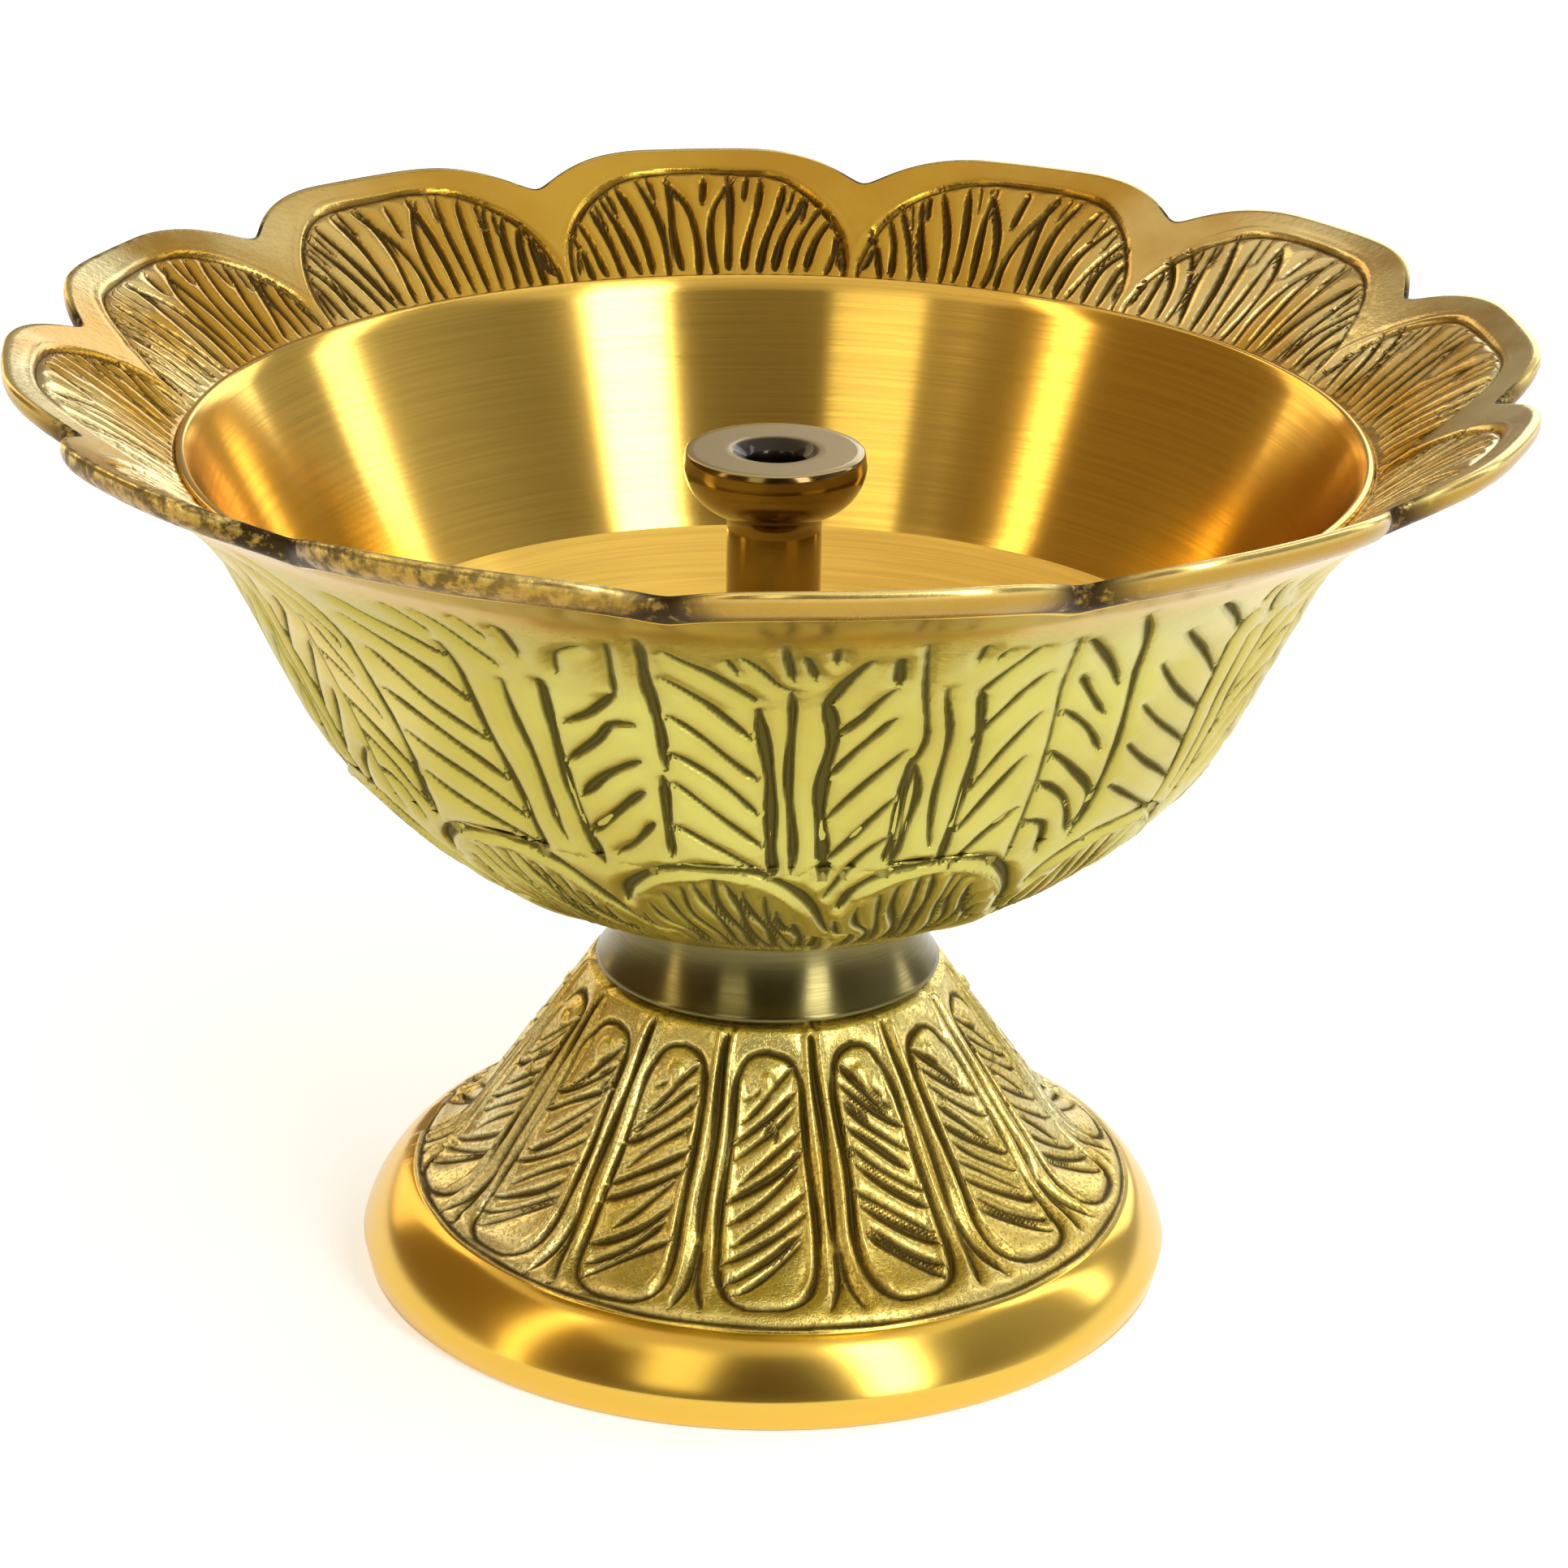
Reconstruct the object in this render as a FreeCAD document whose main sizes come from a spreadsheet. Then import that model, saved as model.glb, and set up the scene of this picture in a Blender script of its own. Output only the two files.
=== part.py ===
import FreeCAD, Part
import math
import os
import re

import Sketcher
from FreeCAD import Vector

# A brass diya oil lamp: an open bowl with a rim of twelve cast petals stands on a turned neck
# collar and a hollow cast pedestal. One threaded stud runs up the middle. A nut under the
# pedestal's deck pulls the stack together, and the wick holder screws onto the stud's top.
# Millimetres, +Z up, origin in the middle of the foot. Petals lie on the X and Y axes.

doc = FreeCAD.newDocument("diya_oil_lamp")

# ---------------------------------------------------------------- driving dimensions

DIMENSIONS = [
    # the petal rim
    ("petal_count", 12, "petals round the rim"),
    ("petal_tip_r", 70.0, "radius of the petal tips"),
    ("petal_notch_r", 64.0, "radius of the notches between petals, before rounding"),
    ("petal_flat_half", 7.0, "half the angle over which a petal keeps to its tip radius"),
    ("petal_shoulder_r", 9.7, "curve of a petal's shoulders"),
    ("notch_round", 1.2, "rounding in the notches"),
    ("petal_tip_z", 92.0, "height of the petals' upper face at the tips"),
    ("petal_top_arc_r", 69.0, "curve of the petals' upper face from lip to tip"),
    ("petal_under_z", 89.5, "height of the petals' underside at the tips"),
    ("petal_under_arc_r", 38.8, "concave curve under the petals"),
    ("trim_outside_r", 85.0, "anything well outside the untrimmed flange"),
    # the bowl
    ("lip_r", 53.9, "inner edge of the turned lip"),
    ("lip_width", 0.8, "width of the turned lip"),
    ("lip_z", 82.5, "height of the turned lip"),
    ("lip_step", 0.4, "the lip stands this proud of the petals"),
    ("wall_top_r", 51.9, "outside of the wall where the petals start to flare"),
    ("wall_top_z", 75.0, "height where the petals start to flare"),
    ("wall_low_r", 44.6, "outside of the wall where the round bottom starts"),
    ("wall_low_z", 60.0, "height where the round bottom starts"),
    ("belly_arc_r", 43.0, "curve of the outside of the round bottom"),
    ("inside_low_r", 42.2, "inside of the wall where the round bottom starts"),
    ("inside_arc_r", 37.0, "curve of the inside of the round bottom"),
    ("seat_r", 15.4, "radius of the bowl's flat seat"),
    ("floor_r", 12.0, "radius of the bowl's flat floor"),
    ("floor_thick", 2.6, "thickness of the bowl's floor"),
    # the neck collar
    ("collar_low_r", 16.4, "radius at the collar's foot"),
    ("collar_top_r", 14.0, "radius at the collar's top"),
    ("collar_flank_r", 12.0, "radius of the hollow curve up the collar's side"),
    ("collar_z", 30.2, "height of the pedestal's deck, where the collar stands"),
    ("collar_tall", 7.8, "height of the collar"),
    ("collar_undercut", 0.85, "depth of the shadow groove at the collar's foot"),
    ("collar_groove", 0.5, "height of the shadow groove"),
    ("collar_edge", 0.35, "width of the bright bevel at the collar's foot"),
    # the pedestal
    ("deck_r", 16.9, "radius of the pedestal's top edge"),
    ("deck_round", 0.5, "rounding of the pedestal's top edge"),
    ("deck_thick", 3.0, "thickness of the pedestal's deck"),
    ("cone_low_r", 28.3, "radius where the pedestal's cone starts to flare"),
    ("cone_low_z", 13.8, "height where the pedestal's cone starts to flare"),
    ("flare_arc_r", 9.5, "concave curve at the foot of the cone"),
    ("ring_top_r", 32.4, "inner radius of the convex foot ring"),
    ("ring_top_z", 10.6, "height of the convex foot ring"),
    ("ring_arc_r", 12.0, "curve of the convex foot ring"),
    ("foot_r", 38.8, "largest radius of the foot"),
    ("foot_z", 2.9, "height of the foot's crease"),
    ("foot_low_r", 38.3, "radius of the foot near the table"),
    ("foot_bevel", 0.5, "bevel at the foot's lower edge"),
    ("foot_inside_r", 34.6, "inside of the resting ring"),
    ("pedestal_wall", 2.4, "wall of the cast pedestal"),
    # the tie stud and what it clamps
    ("stud_r", 3.0, "radius of the threaded stud"),
    ("stud_hole_r", 3.2, "radius of the clearance holes for the stud"),
    ("thread_gap", 0.03, "radial gap of the threads"),
    ("thread_pitch", 1.0, "pitch of the threads"),
    ("stud_top", 10.0, "length of stud in the wick holder"),
    ("stud_spare", 2.0, "length of stud below the nut"),
    ("washer_r", 9.0, "radius of the wide washer under the deck"),
    ("washer_thick", 1.6, "thickness of the wide washer"),
    ("nut_flats", 10.0, "width of the nut across its flats"),
    ("nut_corner_r", 5.6, "radius that the nut's corners are turned down to"),
    ("nut_tall", 5.2, "height of the nut"),
    ("bowl_seal_r", 13.8, "radius of the seal under the bowl"),
    ("bowl_seal_thick", 0.6, "thickness of the seal under the bowl"),
    ("holder_seal_r", 7.2, "radius of the seal under the wick holder"),
    ("holder_seal_thick", 0.8, "thickness of the seal under the wick holder"),
    # the wick holder
    ("holder_top_z", 81.2, "height of the wick holder's top disc"),
    ("disc_r", 8.2, "radius of the top disc"),
    ("flange_r", 8.5, "largest radius of the head"),
    ("flange_drop", 1.5, "from the disc down to the head's largest radius"),
    ("head_tall", 6.0, "height of the head"),
    ("head_arc_r", 5.0, "curve of the head's underside"),
    ("stem_r", 4.4, "radius of the stem"),
    ("holder_foot_r", 7.5, "radius of the wick holder's foot"),
    ("holder_foot_tall", 2.0, "height of the foot's straight side"),
    ("holder_boss_r", 5.2, "radius of the boss round the thread"),
    ("holder_boss_tall", 13.5, "height of the boss, from under the foot"),
    ("holder_thread_deep", 11.5, "depth of the thread in the wick holder"),
    ("wick_hole_r", 2.8, "radius of the wick hole"),
    ("wick_hole_deep", 24.0, "depth of the wick hole"),
    ("wick_sink_r", 3.9, "radius of the countersink round the wick hole"),
    ("wick_sink_deep", 1.0, "depth of the countersink"),
    ("oil_hole_r", 1.2, "radius of the cross holes that let the oil in"),
    ("oil_hole_up", 2.6, "height of the cross holes above the wick hole's floor"),
]

dims = doc.addObject("Spreadsheet::Sheet", "dims")
for row, (alias, size, note) in enumerate(DIMENSIONS, start=1):
    dims.set("A%d" % row, note)
    dims.set("B%d" % row, str(size))
    dims.setAlias("B%d" % row, alias)
doc.recompute()

FUNCTIONS = {"cos", "sin"}


def on_sheet(text):
    """The text of a size with every alias written as a cell of the sheet."""
    def cell(match):
        word = match.group(0)
        return word if word in FUNCTIONS else "dims." + word
    return re.sub(r"[a-z][a-z_]*", cell, text)


def size_of(text):
    """The value that a size has now."""
    return float(dims.evalExpression(on_sheet(text)))


# ---------------------------------------------------------------- helpers for sketches


def origin_plane(body, role):
    for plane in body.Origin.OriginFeatures:
        if plane.Role == role:
            return plane


def new_body(label):
    body = doc.addObject("PartDesign::Body", label)
    body.Label = label
    return body


def new_sketch(body, name, role):
    sketch = body.newObject("Sketcher::SketchObject", name)
    sketch.AttachmentSupport = (origin_plane(body, role), [""])
    sketch.MapMode = "FlatFace"
    return sketch


def bind(sketch, constraint, name, text):
    """Add a constraint with a name and bind its size to the sheet."""
    index = sketch.addConstraint(constraint)
    sketch.renameConstraint(index, name)
    sketch.setExpression("Constraints." + name, on_sheet(text))


def arc_centre(start, end, radius):
    """The centre of the arc from start to end; a positive radius turns to the left."""
    chord = end.sub(start)
    half = chord.Length / 2
    rise = math.sqrt(radius * radius - half * half) * math.copysign(1, radius)
    left = Vector(-chord.y, chord.x, 0).normalize()
    return start.add(end).multiply(0.5).add(left.multiply(rise))


def add_edge(sketch, start, end, radius):
    """Draw a line or an arc; returns its number and which ends are its start and end."""
    if not radius:
        return sketch.addGeometry(Part.LineSegment(start, end)), 1, 2
    centre = arc_centre(start, end, radius)
    first, last = (start, end) if radius > 0 else (end, start)
    angles = [math.atan2(p.y - centre.y, p.x - centre.x) for p in (first, last)]
    circle = Part.Circle(centre, Vector(0, 0, 1), abs(radius))
    edge = sketch.addGeometry(Part.ArcOfCircle(circle, angles[0], angles[1]))
    return (edge, 1, 2) if radius > 0 else (edge, 2, 1)


def draw_outline(sketch, corners, tag="p"):
    """Draw a closed outline. A corner is (across, up) or (across, up, arc radius): the arc
    then leads to that corner. All are sizes in the sheet's words, and all are bound to it."""
    points = [Vector(size_of(c[0]), size_of(c[1]), 0) for c in corners]
    turns = [size_of(c[2]) if len(c) > 2 else 0 for c in corners]
    edges = []
    for i in range(len(corners)):
        edges.append(add_edge(sketch, points[i - 1], points[i], turns[i]))
    for i, (edge, _, end) in enumerate(edges):
        after, start, _ = edges[(i + 1) % len(edges)]
        sketch.addConstraint(Sketcher.Constraint("Coincident", edge, end, after, start))
        name = "%s%d" % (tag, i)
        across, up = corners[i][0], corners[i][1]
        for axis, text, at, line in (("X", across, points[i].x, -2), ("Y", up, points[i].y, -1)):
            if text == "0":
                sketch.addConstraint(Sketcher.Constraint("PointOnObject", edge, end, line))
            else:
                kind = "Distance" + axis
                bind(sketch, Sketcher.Constraint(kind, -1, 1, edge, end, at), name + axis, text)
        if turns[i]:
            radius = Sketcher.Constraint("Radius", edge, abs(turns[i]))
            bind(sketch, radius, name + "R", corners[i][2].lstrip("-"))


def turned_body(label, corners):
    """A body of revolution about Z, from half its section."""
    body = new_body(label)
    section = new_sketch(body, label + "_section", "XZ_Plane")
    draw_outline(section, corners)
    turning = body.newObject("PartDesign::Revolution", label + "_turning")
    turning.Profile = section
    turning.ReferenceAxis = (section, ["V_Axis"])
    turning.Angle = 360
    section.Visibility = False
    return body


def cut_through(body, name, sketch):
    """Pocket a sketch through the whole body, on both sides of the sketch."""
    before = body.Shape.Volume
    pocket = body.newObject("PartDesign::Pocket", name)
    pocket.Profile = sketch
    pocket.Type = "ThroughAll"
    pocket.Midplane = True
    doc.recompute()
    if body.Shape.Volume > before - 1:
        raise RuntimeError(name + " cuts nothing")
    return pocket


# Heights that stack up from the deck, used by several pieces.
DECK_UNDER = "collar_z - deck_thick"
COLLAR_TOP = "collar_z + collar_tall"
BOWL_SEAT = "collar_z + collar_tall + bowl_seal_thick"
BOWL_FLOOR = BOWL_SEAT + " + floor_thick"
HOLDER_FOOT = BOWL_FLOOR + " + holder_seal_thick"
WASHER_UNDER = DECK_UNDER + " - washer_thick"
NUT_UNDER = WASHER_UNDER + " - nut_tall"


# ---------------------------------------------------------------- pedestal_base
# One hollow casting: deck, cone and the convex foot ring it rests on.

pedestal = turned_body("pedestal_base", [
    ("stud_hole_r", "collar_z"),
    ("deck_r - deck_round", "collar_z"),
    ("deck_r", "collar_z - deck_round", "-deck_round"),
    ("cone_low_r", "cone_low_z"),
    ("ring_top_r", "ring_top_z", "flare_arc_r"),
    ("foot_r", "foot_z", "-ring_arc_r"),
    ("foot_low_r", "foot_bevel"),
    ("foot_low_r - foot_bevel", "0"),
    ("foot_inside_r", "0"),
    ("foot_inside_r", "foot_z"),
    ("cone_low_r - pedestal_wall", "cone_low_z - pedestal_wall / 2"),
    ("deck_r - pedestal_wall", DECK_UNDER),
    ("stud_hole_r", DECK_UNDER),
])

# ---------------------------------------------------------------- neck_collar
# A turned brass ring with a hollow side and a bevelled edge over a shadow groove at its foot.

collar = turned_body("neck_collar", [
    ("stud_hole_r", "collar_z"),
    ("collar_low_r - collar_undercut", "collar_z"),
    ("collar_low_r - collar_undercut", "collar_z + collar_groove"),
    ("collar_low_r - collar_edge", "collar_z + collar_groove"),
    ("collar_low_r", "collar_z + collar_groove + collar_edge"),
    ("collar_top_r", COLLAR_TOP, "-collar_flank_r"),
    ("stud_hole_r", COLLAR_TOP),
])

# ---------------------------------------------------------------- bowl
# Cast with its petal rim in one piece, then turned inside. The petals are the flared flange
# trimmed to twelve broad lobes that meet in notches.

bowl = turned_body("bowl", [
    ("stud_hole_r", BOWL_SEAT),
    ("seat_r", BOWL_SEAT),
    ("wall_low_r", "wall_low_z", "belly_arc_r"),
    ("wall_top_r", "wall_top_z"),
    ("petal_tip_r", "petal_under_z", "-petal_under_arc_r"),
    ("petal_tip_r + lip_width", "petal_under_z"),
    ("petal_tip_r + lip_width", "petal_tip_z"),
    ("petal_tip_r", "petal_tip_z"),
    ("lip_r + lip_width", "lip_z - lip_step", "petal_top_arc_r"),
    ("lip_r + lip_width", "lip_z"),
    ("lip_r", "lip_z"),
    ("inside_low_r", "wall_low_z"),
    ("floor_r", BOWL_FLOOR, "-inside_arc_r"),
    ("stud_hole_r", BOWL_FLOOR),
])

# A lobe keeps to the tip radius over its middle, and its shoulders curve in to the notches.
petals = int(size_of("petal_count"))
half_lobe = 180 / petals


def rim_point(radius, turn):
    """A point at a radius and an angle from the X axis, as sizes on the sheet."""
    return "%s * cos(%s)" % (radius, turn), "%s * sin(%s)" % (radius, turn)


lobes = []
for k in range(petals):
    middle = 2 * half_lobe * k
    notch = rim_point("petal_notch_r", middle - half_lobe)
    rise = rim_point("petal_tip_r", "(%s - petal_flat_half)" % middle)
    fall = rim_point("petal_tip_r", "(%s + petal_flat_half)" % middle)
    lobes += [notch + ("petal_shoulder_r",), rise + ("petal_shoulder_r",), fall + ("petal_tip_r",)]

trim = new_sketch(bowl, "bowl_petal_trim", "XY_Plane")
draw_outline(trim, lobes, "lobe")
outside_r = size_of("trim_outside_r")
outside = trim.addGeometry(Part.Circle(Vector(0, 0, 0), Vector(0, 0, 1), outside_r))
trim.addConstraint(Sketcher.Constraint("Coincident", outside, 3, -1, 1))
bind(trim, Sketcher.Constraint("Radius", outside, outside_r), "outside", "trim_outside_r")
doc.recompute()
lobe_cut = cut_through(bowl, "bowl_petal_lobes", trim)

# The cutter leaves the notches round: they are the short edges that stand at the notch radius.
notch_edges = []
for number, edge in enumerate(lobe_cut.Shape.Edges, start=1):
    middle = edge.valueAt((edge.FirstParameter + edge.LastParameter) / 2)
    near_notch = abs(math.hypot(middle.x, middle.y) - size_of("petal_notch_r")) < 0.01
    if near_notch and edge.BoundBox.ZLength > 1:
        notch_edges.append("Edge%d" % number)
if len(notch_edges) != petals:
    raise RuntimeError("found %d notch edges" % len(notch_edges))
notches = bowl.newObject("PartDesign::Fillet", "bowl_notches")
notches.Base = (lobe_cut, notch_edges)
notches.setExpression("Radius", on_sheet("notch_round"))
bowl.Tip = notches

# ---------------------------------------------------------------- wick_holder
# A turned spool. It screws onto the stud, and the wick stands in the hole down its stem.

holder = turned_body("wick_holder", [
    ("stud_r + thread_gap", HOLDER_FOOT),
    ("holder_foot_r", HOLDER_FOOT),
    ("holder_foot_r", HOLDER_FOOT + " + holder_foot_tall"),
    ("holder_boss_r", HOLDER_FOOT + " + holder_foot_tall * 2", "-holder_foot_r"),
    ("holder_boss_r", HOLDER_FOOT + " + holder_boss_tall"),
    ("stem_r", HOLDER_FOOT + " + holder_boss_tall + holder_foot_tall"),
    ("stem_r", "holder_top_z - head_tall"),
    ("flange_r", "holder_top_z - flange_drop", "head_arc_r"),
    ("disc_r", "holder_top_z"),
    ("wick_sink_r", "holder_top_z"),
    ("wick_hole_r", "holder_top_z - wick_sink_deep"),
    ("wick_hole_r", "holder_top_z - wick_hole_deep"),
    ("0", "holder_top_z - wick_hole_deep"),
    ("0", HOLDER_FOOT + " + holder_thread_deep"),
    ("stud_r + thread_gap", HOLDER_FOOT + " + holder_thread_deep"),
])
doc.recompute()

# Two cross holes near the bottom of the wick hole let the oil in.
oil_height = "holder_top_z - wick_hole_deep + oil_hole_up"
oil_sketch = new_sketch(holder, "wick_holder_oil_hole", "XZ_Plane")
oil_circle = Part.Circle(Vector(0, size_of(oil_height), 0), Vector(0, 0, 1), size_of("oil_hole_r"))
oil_edge = oil_sketch.addGeometry(oil_circle)
oil_sketch.addConstraint(Sketcher.Constraint("PointOnObject", oil_edge, 3, -2))
bind(oil_sketch, Sketcher.Constraint("DistanceY", -1, 1, oil_edge, 3, size_of(oil_height)),
     "up", oil_height)
bind(oil_sketch, Sketcher.Constraint("Radius", oil_edge, size_of("oil_hole_r")),
     "radius", "oil_hole_r")
doc.recompute()
oil_pocket = cut_through(holder, "wick_holder_oil_pocket", oil_sketch)
oil_pattern = holder.newObject("PartDesign::PolarPattern", "wick_holder_oil_holes")
oil_pattern.Originals = [oil_pocket]
oil_pattern.Axis = (oil_sketch, ["V_Axis"])
oil_pattern.Angle = 180
oil_pattern.Occurrences = 2
holder.Tip = oil_pattern

# ---------------------------------------------------------------- centre_stud
# A plain threaded rod, bevelled at both ends, from under the nut to inside the wick holder.

STUD_END = NUT_UNDER + " - stud_spare"
STUD_TOP = HOLDER_FOOT + " + stud_top"
stud = turned_body("centre_stud", [
    ("0", STUD_END),
    ("stud_r - thread_pitch / 2", STUD_END),
    ("stud_r", STUD_END + " + thread_pitch / 2"),
    ("stud_r", STUD_TOP + " - thread_pitch / 2"),
    ("stud_r - thread_pitch / 2", STUD_TOP),
    ("0", STUD_TOP),
])

# ---------------------------------------------------------------- washers and nut


def tube(label, outer, inner, bottom, tall):
    """A flat ring from two cylinders, for the washer and the seals."""
    rounds = []
    for part_name, radius in (("_disc", outer), ("_hole", inner)):
        cylinder = doc.addObject("Part::Cylinder", label + part_name)
        cylinder.setExpression("Radius", on_sheet(radius))
        cylinder.setExpression("Height", on_sheet(tall))
        cylinder.setExpression("Placement.Base.z", on_sheet(bottom))
        rounds.append(cylinder)
    ring = doc.addObject("Part::Cut", label)
    ring.Base, ring.Tool = rounds
    ring.Label = label
    return ring


clamp_washer = tube("clamp_washer", "washer_r", "stud_hole_r", WASHER_UNDER, "washer_thick")
bowl_seal = tube("bowl_seal_washer", "bowl_seal_r", "stud_hole_r", COLLAR_TOP, "bowl_seal_thick")
holder_seal = tube("holder_seal_washer", "holder_seal_r", "stud_hole_r", BOWL_FLOOR,
                   "holder_seal_thick")

# The nut is a hexagon prism with its corners turned off by a round bar a little smaller
# than its corners.
hexagon = doc.addObject("Part::Prism", "clamp_nut_hexagon")
hexagon.Polygon = 6
hexagon.setExpression("Circumradius", on_sheet("nut_flats / 2 / cos(30)"))
hexagon.setExpression("Height", on_sheet("nut_tall"))
hexagon.setExpression("Placement.Base.z", on_sheet(NUT_UNDER))
corner_bar = doc.addObject("Part::Cylinder", "clamp_nut_corner_bar")
corner_bar.setExpression("Radius", on_sheet("nut_corner_r"))
corner_bar.setExpression("Height", on_sheet("nut_tall"))
corner_bar.setExpression("Placement.Base.z", on_sheet(NUT_UNDER))
nut_blank = doc.addObject("Part::Common", "clamp_nut_blank")
nut_blank.Base = hexagon
nut_blank.Tool = corner_bar
nut_hole = doc.addObject("Part::Cylinder", "clamp_nut_hole")
nut_hole.setExpression("Radius", on_sheet("stud_r + thread_gap"))
nut_hole.setExpression("Height", on_sheet("nut_tall"))
nut_hole.setExpression("Placement.Base.z", on_sheet(NUT_UNDER))
nut = doc.addObject("Part::Cut", "clamp_nut")
nut.Base = nut_blank
nut.Tool = nut_hole
nut.Label = "clamp_nut"

# ---------------------------------------------------------------- checks and export

SUBPARTS = [pedestal, collar, bowl_seal, bowl, stud, clamp_washer, nut, holder_seal, holder]

doc.recompute()
for thing in doc.Objects:
    if "Invalid" in thing.State or "Error" in thing.State:
        raise RuntimeError("%s failed: %s" % (thing.Name, thing.State))
for subpart in SUBPARTS:
    shape = subpart.Shape
    if shape.isNull() or not shape.isValid() or len(shape.Solids) != 1:
        raise RuntimeError(subpart.Label + " isn't one valid solid")

os.makedirs("parts", exist_ok=True)
for subpart in SUBPARTS:
    subpart.Shape.exportStep("parts/%s.step" % subpart.Label)
    box = subpart.Shape.BoundBox
    print("%-20s %8.1f mm3  r %.2f  z %.2f to %.2f"
          % (subpart.Label, subpart.Shape.Volume, box.XMax, box.ZMin, box.ZMax))
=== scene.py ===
"""A cast brass diya: an engraved, petal-rimmed oil bowl on a turned collar and a chased, flared foot."""
import math
import random
import bpy
from mathutils import Matrix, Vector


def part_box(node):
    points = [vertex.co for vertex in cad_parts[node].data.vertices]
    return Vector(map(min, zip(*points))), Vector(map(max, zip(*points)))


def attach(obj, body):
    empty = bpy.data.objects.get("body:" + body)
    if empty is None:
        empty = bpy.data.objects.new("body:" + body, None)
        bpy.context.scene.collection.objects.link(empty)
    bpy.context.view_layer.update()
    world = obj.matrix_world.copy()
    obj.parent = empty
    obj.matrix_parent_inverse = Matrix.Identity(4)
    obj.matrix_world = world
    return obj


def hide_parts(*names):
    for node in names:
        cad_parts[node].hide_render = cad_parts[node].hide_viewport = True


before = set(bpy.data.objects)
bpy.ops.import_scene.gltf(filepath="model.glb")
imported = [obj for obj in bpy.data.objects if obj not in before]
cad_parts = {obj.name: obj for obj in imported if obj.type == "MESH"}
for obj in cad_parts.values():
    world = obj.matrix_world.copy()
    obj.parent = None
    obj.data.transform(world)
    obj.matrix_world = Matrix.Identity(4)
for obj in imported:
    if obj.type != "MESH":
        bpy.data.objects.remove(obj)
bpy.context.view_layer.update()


# ---------------------------------------------------------------------------------------------------------
# The table and the light. The lamp stands on a plain pale table under a large soft box, with narrower ones
# in front, at the sides and behind, so that every turned face gets its long streaks.
# ---------------------------------------------------------------------------------------------------------
MM = 0.001
EYE = (-57.3 * MM, -441.6 * MM, 223.0 * MM)
HEADING, TILT, ROLL = -7.56, 68.57, 0.964
LENS = 116.6

eye = bpy.data.objects.new("eye", bpy.data.cameras.new("eye"))
eye.data.lens = LENS
eye.data.sensor_width = 36.0
eye.data.clip_start = 0.01
eye.matrix_world = (Matrix.Translation(EYE) @ Matrix.Rotation(math.radians(HEADING), 4, "Z")
                    @ Matrix.Rotation(math.radians(TILT), 4, "X")
                    @ Matrix.Rotation(math.radians(ROLL), 4, "Z"))
bpy.context.scene.collection.objects.link(eye)
bpy.context.scene.camera = eye

bpy.context.scene.view_settings.view_transform = "Standard"
bpy.context.scene.view_settings.look = "None"
world = bpy.data.worlds.new("studio")
bpy.context.scene.world = world
world.use_nodes = True
world.node_tree.nodes["Background"].inputs["Strength"].default_value = 0.40


def soft_box(name, heading, height, reach, size, power, colour=(1.0, 1.0, 1.0)):
    """A soft box that faces the lamp from a heading (0 is the viewer's side), at a height and a distance."""
    light = bpy.data.lights.new(name, "AREA")
    light.shape = "RECTANGLE"
    light.size, light.size_y = size
    light.energy = power
    light.color = colour
    lamp = bpy.data.objects.new(name, light)
    turn = math.radians(heading + HEADING)
    place = Matrix.Rotation(turn, 4, "Z") @ Matrix.Translation((0.0, -reach, height))
    down = math.atan2(reach, height - 0.05)
    lamp.matrix_world = place @ Matrix.Rotation(down, 4, "X")
    bpy.context.scene.collection.objects.link(lamp)


soft_box("overhead_box", 0, 1.4, 0.02, (2.6, 2.6), 12.0, (1.0, 0.93, 0.80))
soft_box("key_box", 37, 0.50, 0.9, (0.26, 0.9), 5.5)
soft_box("rear_right_box", 155, 0.40, 1.1, (0.9, 0.5), 2.6)
soft_box("near_left_box", -24, 0.55, 1.0, (0.34, 0.7), 1.15, (1.0, 0.94, 0.72))
soft_box("left_strip", -70, 0.45, 0.9, (0.12, 1.0), 1.2, (1.0, 0.82, 0.50))
soft_box("right_back_box", 108, 0.5, 0.9, (0.16, 0.9), 1.5)
soft_box("left_back_box", -140, 0.45, 1.0, (0.40, 0.8), 1.6, (1.0, 0.80, 0.5))


class Wire:
    """A socket of a node tree, so that node maths is written as Python arithmetic."""

    def __init__(self, tree, socket):
        self.tree = tree
        self.socket = socket

    def __getitem__(self, name):
        return Wire(self.tree, self.socket.node.outputs[name])

    def math(self, operation, *values):
        return add(self.tree, "ShaderNodeMath", {"operation": operation}, self, *values)

    def __add__(self, other):
        return self.math("ADD", other)

    def __radd__(self, other):
        return self.math("ADD", other)

    def __sub__(self, other):
        return self.math("SUBTRACT", other)

    def __rsub__(self, other):
        return add(self.tree, "ShaderNodeMath", {"operation": "SUBTRACT"}, other, self)

    def __mul__(self, other):
        return self.math("MULTIPLY", other)

    def __rmul__(self, other):
        return self.math("MULTIPLY", other)

    def __truediv__(self, other):
        return self.math("DIVIDE", other)

    def __pow__(self, other):
        return self.math("POWER", other)

    def ease(self, low, high, from_value=0.0, to_value=1.0):
        """Runs smoothly from one value to the other while this socket goes from low to high."""
        return add(self.tree, "ShaderNodeMapRange", {"interpolation_type": "SMOOTHSTEP"},
                   self, low, high, from_value, to_value)


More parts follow.
